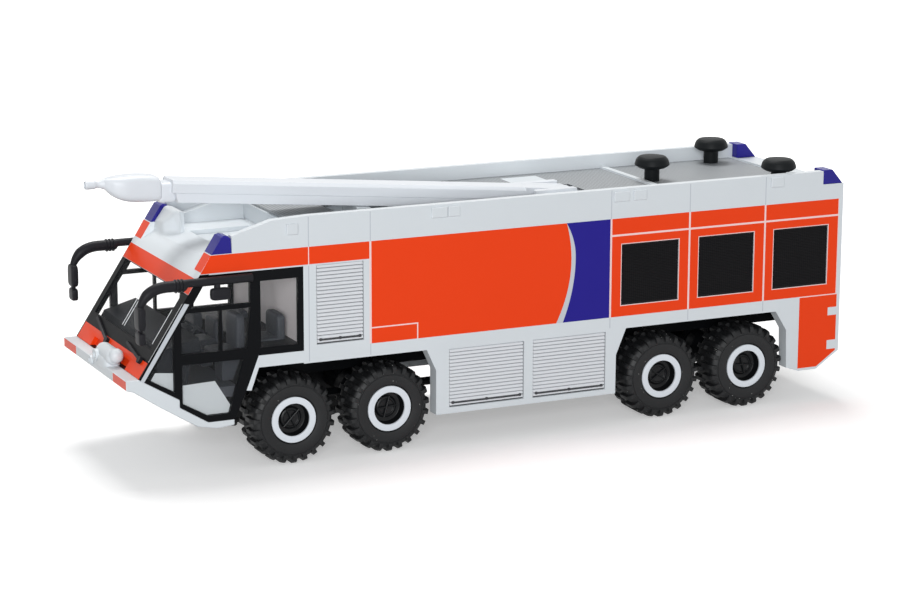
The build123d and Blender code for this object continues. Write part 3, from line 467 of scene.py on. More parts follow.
def tube(path, radii, steps=20):
    """Round bar along a path of points: each ring lies square to the path, at its own radius.
    The ring's axes are the cross products of the path's direction with a fixed side direction."""
    path = np.asarray(path, float)
    radii = np.broadcast_to(np.asarray(radii, float), len(path))
    along = np.gradient(path, axis=0)
    along /= np.linalg.norm(along, axis=1, keepdims=True)
    reference = np.array([0.0, 1.0, 0.0]) if abs(along[:, 1]).max() < 0.9 else np.array([1.0, 0.0, 0.0])
    side = np.cross(along, reference)
    side /= np.linalg.norm(side, axis=1, keepdims=True)
    other = np.cross(along, side)
    angle = 2 * np.pi * np.arange(steps) / steps
    ring = np.cos(angle)[None, :, None] * side[:, None, :] + np.sin(angle)[None, :, None] * other[:, None, :]
    body = path[:, None, :] + radii[:, None, None] * ring
    start = np.repeat(path[:1, None, :], steps, axis=1)
    end = np.repeat(path[-1:, None, :], steps, axis=1)
    return grid(np.concatenate([start, body, end]), round_columns=True)


def box_surface(low, high):
    """Closed box between two corners."""
    low = np.asarray(low, float)
    high = np.asarray(high, float)
    corners = np.array([[x, y, z] for x in (0, 1) for y in (0, 1) for z in (0, 1)])
    faces = np.array([[0, 1, 3, 2], [4, 6, 7, 5], [0, 4, 5, 1], [2, 3, 7, 6], [0, 2, 6, 4], [1, 5, 7, 3]])
    return low + corners * (high - low), faces


def bar_surface(x0, x1, y, z):
    """Bar from x0 to x1 whose section is the closed line through the points y, z; its ends are open."""
    rows = [np.stack([np.full(len(z), x), y, z], axis=-1) for x in (x0, x1)]
    return grid(np.stack(rows), round_columns=True)


def shell_surface(centre, half_sizes, rows=22, columns=40, power=0.42):
    """Rounded box: a superellipsoid whose sines and cosines are raised to a small power."""
    lat = np.linspace(-np.pi / 2, np.pi / 2, rows)[:, None]
    lon = 2 * np.pi * np.arange(columns)[None, :] / columns

    def soft(value):
        return np.sign(value) * np.abs(value) ** power

    x = soft(np.cos(lat)) * soft(np.cos(lon)) * half_sizes[0]
    y = soft(np.cos(lat)) * soft(np.sin(lon)) * half_sizes[1]
    z = soft(np.sin(lat)) * np.ones_like(lon) * half_sizes[2]
    return grid(np.stack([x, y, z], axis=-1) + np.asarray(centre, float), round_columns=True)


def smooth_through(points, steps):
    """Rows laid evenly on a smooth curve through the given rows: on each span the cubic Hermite curve
    whose slopes are the mean differences to the neighbours."""
    points = np.asarray(points, float)
    slope = np.gradient(points, axis=0)
    t = np.linspace(0, 1, steps, endpoint=False)[:, None]
    a, b, m, n = points[:-1, None], points[1:, None], slope[:-1, None], slope[1:, None]
    spans = ((2 * t ** 3 - 3 * t ** 2 + 1) * a + (t ** 3 - 2 * t ** 2 + t) * m
             + (3 * t ** 2 - 2 * t ** 3) * b + (t ** 3 - t ** 2) * n)
    return np.concatenate([spans.reshape(-1, points.shape[1]), points[-1:]])


def bezier(points, steps):
    """Smooth curve through its end points, pulled by two middle ones: the cubic Bernstein sum."""
    a, b, c, d = (np.asarray(point, float) for point in points)
    t = np.linspace(0, 1, steps)[:, None]
    return (1 - t) ** 3 * a + 3 * t * (1 - t) ** 2 * b + 3 * t ** 2 * (1 - t) * c + t ** 3 * d


# Stage

class TRUCK_OT_stage(bpy.types.Operator):
    """Camera, floor and lights"""
    bl_idname = "truck.stage"
    bl_label = "Stage"

    def execute(self, context):
        make_camera(context)
        make_floor(context)
        make_lights(context)
        return {"FINISHED"}


def make_camera(context):
    """Camera at the photograph's angle, aimed at a point in the truck's middle."""
    azimuth, elevation, roll = (math.radians(a) for a in (154.37, 13.11, 0.25))
    target = Vector((-2.8, 0, 19.99)) * MM
    back = Vector((math.sin(azimuth) * math.cos(elevation), -math.cos(azimuth) * math.cos(elevation),
                   math.sin(elevation)))
    right = (-back).cross(Vector((0, 0, 1))).normalized()
    up = right.cross(-back)
    x_axis = right * math.cos(roll) + up * math.sin(roll)
    y_axis = up * math.cos(roll) - right * math.sin(roll)
    data = bpy.data.cameras.new("camera")
    data.sensor_width = 36
    data.lens = 108.86
    data.shift_x = -0.0293
    data.shift_y = 0.00956
    data.clip_start = 0.01
    data.clip_end = 20
    camera = bpy.data.objects.new("camera", data)
    place = Matrix((x_axis, y_axis, back)).transposed().to_4x4()
    place.translation = target + back * sizes().camera_distance
    camera.matrix_world = place
    context.scene.collection.objects.link(camera)
    context.scene.camera = camera


def background_rays(tree):
    """Value that is 1 for a ray from the camera, from a glossy surface or through glass, and 0 for others."""
    path = add_node(tree, "LightPath").outputs
    value = path["Is Camera Ray"]
    for label in ("Is Glossy Ray", "Is Transmission Ray"):
        value = calculate(tree, "MAXIMUM", value, path[label])
    return value


def make_floor(context):
    """Large pale floor that shows nearly white and keeps the shadow."""
    side = 3.0
    corners = [(-side, -side, 0), (side, -side, 0), (side, side, 0), (-side, side, 0)]
    mesh = bpy.data.meshes.new("floor")
    mesh.from_pydata(corners, [], [(0, 1, 2, 3)])
    floor = bpy.data.objects.new("floor", mesh)
    material, tree, shader, place = blank_material("floor")
    seen = background_rays(tree)
    set_inputs(shader, {
        "Base Color": blend(tree, seen, (0.34, 0.34, 0.34, 1), (0.86, 0.86, 0.86, 1)),
        "Roughness": spread(tree, noise(tree, place, 900), low=0.85, high=0.95),
        "Specular IOR Level": 0.1,
    })
    # The glow grows with the distance from the truck, so that the far floor is white
    away = add_node(tree, "VectorMath", {0: place}, operation="LENGTH").outputs["Value"]
    rise = spread(tree, away, 0.09, 0.4, 0.34, 1, "SMOOTHSTEP")
    strength = calculate(tree, "MULTIPLY", seen, rise)
    glow = add_node(tree, "Emission", {"Color": (1, 1, 1, 1), "Strength": strength})
    total = add_node(tree, "AddShader", {0: shader.outputs[0], 1: glow.outputs[0]})
    set_inputs(tree.nodes["Material Output"], {"Surface": total.outputs[0]})
    mesh.materials.append(material)
    context.scene.collection.objects.link(floor)


def make_lights(context):
    """Even white surroundings and two soft boxes."""
    world = bpy.data.worlds.new("studio")
    context.scene.world = world
    world.use_nodes = True
    tree = world.node_tree
    strength = spread(tree, background_rays(tree), low=0.33)
    set_inputs(tree.nodes["Background"], {"Color": (1, 1, 1, 1), "Strength": strength})
    # Name, place, size, power and colour of each soft box; all point at the truck
    boxes = (
        ("overhead", (-0.03, -0.16, 0.48), 0.26, 1.75, (1, 0.995, 0.985)),
        ("front_fill", (0.42, 0.85, 0.24), 0.4, 6.4, (0.97, 0.985, 1)),
    )
    for name, place, size, power, colour in boxes:
        data = bpy.data.lights.new(name, "AREA")
        data.shape = "SQUARE"
        data.size = size
        data.energy = power
        data.color = colour
        lamp = bpy.data.objects.new(name, data)
        lamp.location = place
        aim = Vector((0, 0, 0.02)) - Vector(place)
        lamp.rotation_euler = aim.to_track_quat("-Z", "Y").to_euler()
        context.scene.collection.objects.link(lamp)


# Body

HUMP_LOW = (50.9, -13.8, 36.8)
HUMP_HIGH = (54.2, -7.2, 41.3)
HUMP_ROUNDING = 0.6


class TRUCK_OT_body(bpy.types.Operator):
    """White mouldings of the body and cab roof, the front panel and the tail"""
    bl_idname = "truck.body"
    bl_label = "Body"

    def execute(self, context):
        edges = {"body_shell": 0.12, "cab_roof": 0.3, "cab_lower": 0.18, "deck_plates": 0.06,
                 "engine_cover": 0.05, "boom_rest": 0.1}
        for node, width in edges.items():
            piece = softened(node, "white plastic", width, 3)
            if node == "cab_roof":
                round_hump(piece.data)
        # Small raised boxes along the parapet: the rear and front end of each, and the middle height
        boxes = ((-24.9, -21.7, 42.3), (-28.4, -25.7, 42.3), (11.15, 14.2, 42.3), (8.75, 11.05, 42.3),
                 (-57.3, -54.5, 42.4), (39.1, 41.25, 41.6))
        lamps = [box_surface((x0, HALF_WIDTH - 0.05, z - 0.95), (x1, HALF_WIDTH + 0.33, z + 0.95))
                 for x0, x1, z in boxes]
        make_piece("lamp_boxes", both_sides(lamps), "white plastic", "parapet_lamps", 30, 0.22)
        softened("front_panel", "orange print", 0.05)
        softened("tail_lamps", "lamp red", 0.08)
        softened("tail_handles", "black plastic", 0.05)
        return {"FINISHED"}


def round_hump(mesh):
    """Round the hump on the roof more than the other edges; its shortest edges are merged first."""
    def inside(vert):
        return all(low <= value / MM <= high for low, value, high in zip(HUMP_LOW, vert.co, HUMP_HIGH))

    with editing(mesh) as shape:
        bmesh.ops.remove_doubles(shape, verts=[vert for vert in shape.verts if inside(vert)], dist=0.7 * MM)
        edges = [edge for edge in shape.edges if all(inside(vert) for vert in edge.verts)
                 and max(vert.co.y for vert in edge.verts) > -13 * MM]
        bmesh.ops.bevel(shape, geom=edges, offset=HUMP_ROUNDING * MM, segments=4, profile=0.5, affect="EDGES",
                        clamp_overlap=True)


# Printed fields on the sides and the front, and painted shade on the panel grooves

FIELD_LOW = 20.2
FIELD_HIGH = 38.3
BAND_LOW = 35.38
CAB_BAND_LOW = 35.25
LINE_Z = 35.02
PANEL_X = (37.2, 25.75, -21.3, -37.5, -53.5)
REAR_X = -69.4
HALF_GAP = 0.19
GRILLES = ((-35.3, -23.5), (-51.2, -39.5), (-67.25, -55.45))
GRILLE_Z = (22.25, 33.5)
GRILLE_LINE = 0.14
BOX_REAR = 16.95
BOX_TOP = 22.85
BOX_LINE = 0.24
CORNER_X = (-69.7, -61.5)
CORNER_TOP = 20.0
CURVE_ROWS = 41
FRONT_FOOT = (67.9, 18.2)
FRONT_SLOPE = 0.653
BUMPER_X = 70.2
# How far the glass lies behind the front's own plane
GLASS_LIFT = -0.07


def field(left, right, low, high, rows=2):
    """Flat field on the side: z runs from low to high, and x from left(z) to right(z).
    Each bound is a number or a function of the heights."""
    z = np.linspace(low, high, rows)
    x0 = left(z) if callable(left) else np.full(rows, left)
    x1 = right(z) if callable(right) else np.full(rows, right)
    y = np.full(rows, HALF_WIDTH)
    edge0 = np.stack([x0, y, z], axis=-1)
    edge1 = np.stack([x1, y, z], axis=-1)
    return grid(np.stack([edge0, edge1], axis=1))


def fields(*rows):
    """A field for each row of bounds."""
    return [field(*row) for row in rows]


def field_round(outer, hole):
    """Field with a rectangular opening: four strips round it. Both are x0, x1, z0, z1."""
    x0, x1, z0, z1 = outer
    a, b, c, d = hole
    return fields((x0, a, z0, z1), (b, x1, z0, z1), (a, b, z0, c), (a, b, d, z1))


def round_grille(x0, x1):
    """Outer bounds of the light line round a grille: x0, x1, z0, z1."""
    return x0 - GRILLE_LINE, x1 + GRILLE_LINE, GRILLE_Z[0] - GRILLE_LINE, GRILLE_Z[1] + GRILLE_LINE


def flat_sheet(points):
    """Four-cornered flat sheet from its corners."""
    return np.asarray(points, float), np.array([[0, 1, 2, 3]])


def side_sheet(corners, y=HALF_WIDTH):
    """Four-cornered flat sheet on the side, from the x and z of its corners."""
    return flat_sheet([(x, y, z) for x, z in corners])


def front_x(z):
    """X of the sloping front at a height."""
    return FRONT_FOOT[0] - FRONT_SLOPE * (z - FRONT_FOOT[1])


def front_sheet(y0, y1, z0, z1, lift=0.0):
    """Flat sheet on the sloping front between two sides and two heights, or that far in front of it."""
    ahead = lift / math.hypot(1, FRONT_SLOPE)
    return flat_sheet([(front_x(z) + ahead, y, z + ahead * FRONT_SLOPE)
                       for y, z in ((y0, z0), (y1, z0), (y1, z1), (y0, z1))])


def crescent_left(z):
    """X of the crescent's front edge: a parabola that bulges backwards at 31.6 mm."""
    return -13.3 + 0.0225 * (z - 31.6) ** 2


def crescent_right(z):
    """X of the blue field's front edge: two half parabolas that meet at 32 mm."""
    return -14.15 + np.where(z > 32, 0.047, 0.0177) * (z - 32) ** 2


def orange_fields():
    """Orange fields of one side."""
    door = PANEL_X[0] + HALF_GAP / 2
    corners = [(54.85, FIELD_HIGH), (56.75, CAB_BAND_LOW), (door, CAB_BAND_LOW), (door, FIELD_HIGH)]
    made = [side_sheet(corners)]
    # Behind the door, then the large field up to the crescent, with room for the outlined box at its foot
    front = PANEL_X[1] - HALF_GAP
    made += fields(
        (PANEL_X[1] + HALF_GAP, PANEL_X[0] - HALF_GAP / 2, CAB_BAND_LOW, FIELD_HIGH),
        (crescent_left, BOX_REAR - BOX_LINE, FIELD_LOW, FIELD_HIGH, CURVE_ROWS),
        (BOX_REAR - BOX_LINE, front, BOX_TOP + BOX_LINE, FIELD_HIGH),
        (BOX_REAR, front, FIELD_LOW, BOX_TOP),
    )
    ends = (*PANEL_X[2:], REAR_X)
    for i in range(3):
        x1 = ends[i] - HALF_GAP
        x0 = ends[i + 1] + (HALF_GAP if i < 2 else 0)
        made.append(field(x0, x1, BAND_LOW, FIELD_HIGH))
        made += field_round((x0, x1, FIELD_LOW, LINE_Z), round_grille(*GRILLES[i]))
    # Lower rear corner, cut off below and with two notches at its rear edge
    rear, front = CORNER_X
    slope_x, slope_z = (-65.6, 9.2)
    foot = 6.4
    notch_x, notch_z = (-67.8, 7.9)
    made += fields(
        (slope_x, front, foot, CORNER_TOP), (notch_x, slope_x, slope_z, CORNER_TOP),
        (rear, notch_x, slope_z, 9.5), (rear, notch_x, 11.25, 16.05), (rear, notch_x, 17.6, CORNER_TOP),
    )
    made.append(side_sheet([(slope_x, foot), (slope_x, slope_z), (notch_x, slope_z), (notch_x, notch_z)]))
    made.append(side_sheet([(notch_x, notch_z), (notch_x, slope_z), (rear, slope_z), (rear, slope_z - 0.02)]))
    return made


def front_orange():
    """Orange band over the windscreen, tower panels and bumper ends."""
    made = [front_sheet(-HALF_WIDTH + 0.1, HALF_WIDTH - 0.1, 31.95, 34.35)]
    for side in (1, -1):
        made.append(front_sheet(side * 13.95, side * (HALF_WIDTH - 0.15), 35.5, 38.25))
        corners = ((10.3, 16.6), (HALF_WIDTH - 0.1, 16.6), (HALF_WIDTH - 0.1, 18.1), (10.3, 18.1))
        made.append(flat_sheet([(BUMPER_X, side * y, z) for y, z in corners]))
    return made


def print_lines():
    """Light lines of one side: between the fields, round the small box and round the grilles."""
    ends = (*PANEL_X[2:], REAR_X - HALF_GAP)
    made = fields(
        *((rear + HALF_GAP, front - HALF_GAP, LINE_Z, BAND_LOW) for front, rear in zip(ends, ends[1:])),
        *((x - HALF_GAP, x + HALF_GAP, FIELD_LOW, FIELD_HIGH) for x in PANEL_X[1:]),
        (BOX_REAR - BOX_LINE, PANEL_X[1] - HALF_GAP, BOX_TOP, BOX_TOP + BOX_LINE),
        (BOX_REAR - BOX_LINE, BOX_REAR, FIELD_LOW, BOX_TOP),
        (PANEL_X[0] - HALF_GAP / 2, PANEL_X[0] + HALF_GAP / 2, CAB_BAND_LOW, FIELD_HIGH),
        (REAR_X - 0.15, REAR_X, FIELD_LOW, FIELD_HIGH),
        (*CORNER_X, CORNER_TOP, FIELD_LOW),
    )
    for x0, x1 in GRILLES:
        made += field_round(round_grille(x0, x1), (x0, x1, *GRILLE_Z))
    return made


def pillar_stripe():
    """Pale stripe along the front pillar: a slanted band."""
    low, high = 17.9, 30.5
    x_low = front_x(low) - 0.42
    x_high = front_x(high) - 0.22
    return side_sheet([(x_low, low), (x_high, high), (x_high - 0.85, high - 0.2), (x_low - 0.62, low - 0.3)])


def black_prints():
    """Black over the ends of the fascia and along the near edge of the windscreen."""
    low, high = 31.9, 35.15
    depth = 1.7
    end = side_sheet([(front_x(low), low), (front_x(high), high), (front_x(high) - depth, high),
                      (front_x(low) - depth, low)])
    return both_sides([end]) + [front_sheet(14.45, 15.35, 22.75, 31.75, GLASS_LIFT)]


def screen_lines():
    """Thin light lines on the windscreen, two in the middle and one near its side, and one on the pillar."""
    spans = ((-1.62, -1.38), (-0.62, -0.38), (14.15, 14.35))
    made = [front_sheet(y0, y1, 23.4, 29.0, GLASS_LIFT) for y0, y1 in spans]
    return made + [front_sheet(16.95, 17.03, 21.0, 30.4)]


def panel_groove_shade():
    """Grey strips where the faint grooves between the body panels of one side lie: painted shade of the
    grooves, which are not cut into the body.
    """
    half = 0.08
    spans = [(x, *ends) for x in PANEL_X for ends in ((FIELD_HIGH, 43.5), (18.2, FIELD_LOW))]
    spans.append((PANEL_X[0], FIELD_LOW, 35.0))
    return fields(*((x - half, x + half, low, high) for x, low, high in spans))


class TRUCK_OT_livery(bpy.types.Operator):
    """Printed orange, blue and light fields, and grey strips of painted shade on the panel grooves"""
    bl_idname = "truck.livery"
    bl_label = "Livery"

    def execute(self, context):
        blue = [field(PANEL_X[2] + HALF_GAP, crescent_right, FIELD_LOW, FIELD_HIGH, rows=25)]
        pale = [field(crescent_left, crescent_right, FIELD_LOW, FIELD_HIGH, CURVE_ROWS), pillar_stripe()]
        make_sheet("print_orange", both_sides(orange_fields()) + front_orange(), "orange print")
        make_sheet("print_blue", both_sides(blue), "blue print")
        make_sheet("print_lines", both_sides(print_lines()), "line print", 0.4)
        make_sheet("print_pale", both_sides(pale), "pale print")
        make_sheet("print_black", black_prints(), "black plastic")
        make_sheet("print_screen_lines", screen_lines(), "screen line", 1.5)
        # Thin grey strips on the panel grooves: painted shade of the grooves
        make_sheet("panel_groove_shade", both_sides(panel_groove_shade()), "groove shade grey", 0.2)
        return {"FINISHED"}


def make_sheet(name, surfaces, material, share=1):
    """Thin closed sheet on the plastic, thickened outward by a share of the print's thickness."""
    piece = make_piece(name, surfaces, material, smooth=None)
    middle = Vector((0, 0, 0.02))
    with editing(piece.data) as shape:
        inward = [face for face in shape.faces if face.normal.dot(face.calc_center_median() - middle) < 0]
        bmesh.ops.reverse_faces(shape, faces=inward)
    thick = piece.modifiers.new("print thickness", "SOLIDIFY")
    thick.thickness = sizes().print_thickness * share
    thick.offset = 1


# Cab and lamps

class TRUCK_OT_cab(bpy.types.Operator):
    """Cab frame, glass and interior"""
    bl_idname = "truck.cab"
    bl_label = "Cab"

    def execute(self, context):
        softened("cab_frame", "black plastic", 0.1)
        clear = clear_plastic()
        for node in ("windscreen", "side_glass"):
            paint(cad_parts[node], clear)
        softened("dashboard", "dash black", 0.2, 3)
        softened("cab_floor", "interior plastic", 0.1, 3)
        make_piece("seat_row", self.seats(), "interior plastic", "seats", 50)
        # Pale lining behind the foot of the door and of the window before it: corners in x and z
        quads = (((60.0, 16.2), (54.2, 16.4), (50.6, 10.4), (60.0, 10.4)),
                 ((64.8, 18.9), (61.3, 18.5), (61.3, 15.2), (65.6, 17.6)))
        lining = [side_sheet(quad, 16.45) for quad in quads]
        make_sheet("step_lining", both_sides(lining), "lining")
        wall = box_surface((38.3, -16.2, 21.2), (38.45, 16.2, 34.6))
        make_piece("cab_back", [wall], "cab back", smooth=None)
        return {"FINISHED"}

    def seats(self):
        """Seats from rounded boxes: a back, a cushion and a pedestal each."""
        # X of the back, y, half width, foot z, cushion z, top z
        table = (
            (48.2, 10.6, 2.8, 15.2, 20.6, 26.6), (48.2, 0, 2.8, 15.2, 20.0, 23.5),
            (48.2, -10.6, 2.8, 15.2, 19.6, 22.6), (40.2, 9.0, 3.0, 17.3, 21.6, 25.6),
            (40.2, -9.0, 3.0, 17.3, 20.0, 22.4),
        )
        made = []
        for x, y, half_width, foot, cushion, top in table:
            middle = (cushion + top) / 2 - 0.6
            half_height = (top - cushion) / 2 + 0.6
            made.append(shell_surface((x, y, middle), (0.85, half_width, half_height), power=0.35))
            made.append(shell_surface((x + 2.4, y, cushion - 0.7), (2.7, half_width, 0.8), power=0.35))
            made.append(box_surface((x - 0.4, y - 1.8, foot), (x + 3.2, y + 1.8, cushion - 1.0)))
        return made


class TRUCK_OT_lamps(bpy.types.Operator):
    """Blue beacons at the four corners"""
    bl_idname = "truck.lamps"
    bl_label = "Beacons"

    def execute(self, context):
        for node in ("beacons_front", "beacons_rear"):
            softened(node, "beacon blue", 0.15)
        return {"FINISHED"}


# Shutters, grilles and deck

SHUTTERS = ((27.0, 35.8, 21.0, 35.05), (-4.0, 10.7, 7.0, 17.6), (-20.5, -5.8, 6.9, 17.6))
POCKET_BACK = HALF_WIDTH - 0.6


class TRUCK_OT_shutters(bpy.types.Operator):
    """Roller shutters with slats, a black sheet at the back of each pocket that paints the shade in the gap
    round them, and a lift bar
    """
    bl_idname = "truck.shutters"
    bl_label = "Shutters"

    def execute(self, context):
        slats, gap_shades, bars = [], [], []
        inset = 0.005
        for x0, x1, z0, z1 in SHUTTERS:
            slats.append(self.slats(x0, x1, z0, z1))
            # Black sheet at the back of the pocket, a little larger than the slats: painted shade in the gap
            # round the shutter
            gap_shades.append(box_surface((x0 + inset, POCKET_BACK + inset, z0 + inset),
                                    (x1 - inset, POCKET_BACK + 0.12, z1 - inset)))
            bars += self.bar(x0, x1, z0)
        make_piece("shutter_slats", both_sides(slats), "shutter white", "shutters", 50)
        make_piece("shutter_gap_shade", both_sides(gap_shades), "shutter gap shade and bar black", "shutters", None)
        make_piece("shutter_bars", both_sides(bars), "shutter gap shade and bar black", "shutters")
        return {"FINISHED"}

    def slats(self, x0, x1, z0, z1):
        """Slatted sheet: each slat's face leans in towards its top, with a groove below it; the depth behind
        the face runs straight between the shares and depths of the table."""
        margin = 0.13
        count = round((z1 - z0) / 0.66)
        table = ((0, 0.34), (0.13, 0.34), (0.19, 0.05), (0.3, 0), (0.7, 0.05), (0.93, 0.14), (1, 0.3))
        share, depth = np.array(table).T
        height = (np.arange(count)[:, None] + share) / count
        z = z0 + margin + (z1 - z0 - 2 * margin) * height.ravel()
        y = POCKET_BACK + 0.46 - np.tile(depth, count)
        back = [POCKET_BACK + 0.1]
        y = np.concatenate([back, y, back])
        z = np.concatenate([[z0 + margin], z, [z1 - margin]])
        return bar_surface(x0 + margin, x1 - margin, y, z)

    def bar(self, x0, x1, z0):
        """Lift bar: a slim rod with a knob at each end and in the middle."""
        z = z0 + 0.75
        y = POCKET_BACK + 0.56
        places = np.linspace(x0 + 0.75, x1 - 0.75, 3)
        knobs = [shell_surface((x, y - 0.05, z + 0.06), (0.3, 0.2, 0.27), 8, 12, 0.8) for x in places]
        return [tube([(x, y, z) for x in places], 0.14, 10)] + knobs


class TRUCK_OT_grilles(bpy.types.Operator):
    """Intake grilles with fine ribs"""
    bl_idname = "truck.grilles"
    bl_label = "Grilles"

    def execute(self, context):
        made = both_sides([self.ribs(x0, x1) for x0, x1 in GRILLES])
        make_piece("grille_ribs", made, "grille black", "grilles")
        return {"FINISHED"}

    def ribs(self, x0, x1):
        """Ribbed plate: its depth follows a rounded wave down the height, 0.12 (1 - cos 2 pi n t) / 2."""
        z0, z1 = GRILLE_Z
        edge = 0.3
        count = 36
        rim = HALF_WIDTH - 0.14
        t = np.linspace(0, 1, count * 6 + 1)
        y = HALF_WIDTH - 0.16 - 0.12 * (1 - np.cos(2 * np.pi * count * t)) / 2
        z = z0 + edge + (z1 - z0 - 2 * edge) * t
        y = np.concatenate([[POCKET_BACK, rim, rim], y, [rim, rim, POCKET_BACK]])
        z = np.concatenate([[z0, z0, z0 + edge], z, [z1 - edge, z1, z1]])
        return bar_surface(x0, x1, y, z)


class TRUCK_OT_deck(bpy.types.Operator):
    """Walkway gratings and the mushroom vents"""
    bl_idname = "truck.deck"
    bl_label = "Deck"

    def execute(self, context):
        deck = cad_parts["deck_gratings"]
        paint(deck, grating_print())
        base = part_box("roof_vents")[0].z / MM
        rim = base + 2.85
        top = rim + 2.35
        profile = [(0, base), (1.42, base), (1.42, rim), (2.4, rim), (3.1, rim + 0.45), (3.28, rim + 0.62),
                   (3.28, rim + 0.8), (3.0, rim + 1.7), (2.45, top - 0.12), (1.2, top), (0, top)]
        places = ((-39.1, 0.0), (-59.1, 12.4), (-59.1, -12.4))
        vents = [turned(profile, 0.25, 64, "z", (x, y, 0)) for x, y in places]
        make_piece("vents", vents, "vent black", "roof_vents")
        return {"FINISHED"}


# Boom

PIVOT = (-20.6, 0, 39.6)
BOOM_TILT = math.radians(5.4)


class TRUCK_OT_boom(bpy.types.Operator):
    """Boom beams, nozzle head and nozzle"""
    bl_idname = "truck.boom"
    bl_label = "Boom"

    def execute(self, context):
        white = "boom white"
        softened("boom_upper", white, 0.18, body="boom")
        softened("boom_lower", white, 0.12, body="boom")
        make_piece("head", self.head(), white, "boom_head", 50, body="boom")
        # Top plate between the ears, turned about the pivot with the parked boom
        corners, faces = box_surface((-0.9, -1.5, 1.05), (8.6, 1.5, 1.86))
        cosine, sine = math.cos(BOOM_TILT), math.sin(BOOM_TILT)
        turn = np.array([[cosine, 0, -sine], [0, 1, 0], [sine, 0, cosine]])
        plate = (corners @ turn.T + np.array(PIVOT), faces)
        make_piece("boom_top_plate", [plate], white, smooth=30, edge=0.1, body="boom")
        cheek = box_surface((-21.0, 3.2, 40.75), (-12.6, 4.7, 42.0))
        make_piece("boom_cheeks", both_sides([cheek]), white, smooth=30, edge=0.25)
        low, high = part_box("boom_nozzle")
        centre = ((low + high) / 2) / MM
        start = low.x / MM
        end = high.x / MM
        profile = [(0, start - 0.3), (0.85, start - 0.3), (0.95, start), (0.62, start + 0.9),
                   (0.6, start + 1.3), (0.78, start + 1.7), (0.78, end - 0.2), (0.68, end), (0.48, end),
                   (0.44, end - 0.7), (0, end - 0.7)]
        nozzle = turned(profile, 0.12, 40, "x", (0, 0, centre.z))
        make_piece("nozzle", [nozzle], white, "boom_nozzle", body="boom")
        paint(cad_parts["boom_pin"], steel())
        return {"FINISHED"}

    def head(self):
        """Nozzle head: superellipse rings along X through the stations, and its neck.
        A ring at angle a is y = w sgn(cos a)|cos a|^0.55 and z = middle + h sgn(sin a)|sin a|^0.55."""
        # X, low z, high z and half width of each station, from the rear
        stations = np.array([
            (57.85, 45.7, 48.0, 1.6), (58.05, 45.15, 48.9, 2.2), (58.7, 45.05, 49.5, 2.45),
            (61.5, 45.1, 49.88, 2.5), (64.0, 45.4, 49.86, 2.5), (65.9, 46.15, 49.72, 2.1),
            (67.1, 47.2, 49.55, 1.4), (67.7, 47.8, 49.4, 0.95),
        ])
        steps = 48
        x, low, high, width = smooth_through(stations, 6).T
        angle = 2 * np.pi * np.arange(steps) / steps
        across = np.sign(np.cos(angle)) * np.abs(np.cos(angle)) ** 0.55
        upward = np.sign(np.sin(angle)) * np.abs(np.sin(angle)) ** 0.55
        rings = np.stack([np.repeat(x[:, None], steps, axis=1), width[:, None] * across,
                          ((low + high) / 2)[:, None] + ((high - low) / 2)[:, None] * upward], axis=-1)
        caps = [np.repeat(ring.mean(axis=0)[None, None], steps, axis=1) for ring in (rings[0], rings[-1])]
        body = grid(np.concatenate([caps[0], rings, caps[1]]), round_columns=True)
        return [body, shell_surface((56.9, 0, 46.5), (1.6, 2.0, 1.75), power=0.3)]


# Mirrors and the bumper's nozzle

class TRUCK_OT_mirrors(bpy.types.Operator):
    """Mirror arms with their housings, and the wipers"""
    bl_idname = "truck.mirrors"
    bl_label = "Mirrors"

    def execute(self, context):
        y = HALF_WIDTH + 1.15
        z = 33.92
        radius = sizes().arm_radius / MM
        # The thinner rear half of the arm lies a little higher; the step is between these places
        step = (59.6, 60.1)
        along = np.array([47.95, 50, 53, 56, 59, *step, 60.6, 61.6, 62.6])
        straight = np.stack([along, np.full(len(along), y), z + np.interp(along, step, (0.28, 0))], axis=-1)
        bend = bezier([(62.6, y, z), (65.3, y, z + 0.1), (67.0, y, 33.1), (67.8, y, 30.8)], 20)
        path = np.concatenate([straight, bend[1:]])
        radii = np.interp(path[:, 0], step, (radius - 0.25, radius))
        radii[-8:] = np.linspace(radius, radius * 0.6, 8)
        made = [tube(path, radii, 24)]
        for x in (60.2, 60.8, 61.4):
            ring = [(x + dx, y, z - 0.02) for dx in (0, 0.06, 0.26, 0.32)]
            made.append(tube(ring, [radius, radius + 0.2, radius + 0.2, radius], 24))
        # Housings: centre and half sizes; stems: x, low z, high z, radius
        shells = (((67.85, y, 29.0), (0.68, 1.45, 2.0)), ((67.85, y, 25.6), (0.58, 1.3, 1.1)),
                  ((53.75, y + 0.2, 31.95), (1.75, 0.6, 1.05)))
        made += [shell_surface(*shell) for shell in shells]
        for x, low, high, thickness in ((67.85, 26.4, 27.3, 0.42), (54.2, 32.6, 34.2, 0.55)):
            made.append(tube([(x, y, height) for height in np.linspace(low, high, 4)], thickness, 14))
        for x in (48.6, 56.0):
            made.append(box_surface((x, HALF_WIDTH - 0.1, 34.0), (x + 1.2, y, 34.7)))
        make_piece("mirror_arms", both_sides(made), "mirror plastic", "mirrors")
        softened("wipers", "mirror plastic", 0.06)
        return {"FINISHED"}


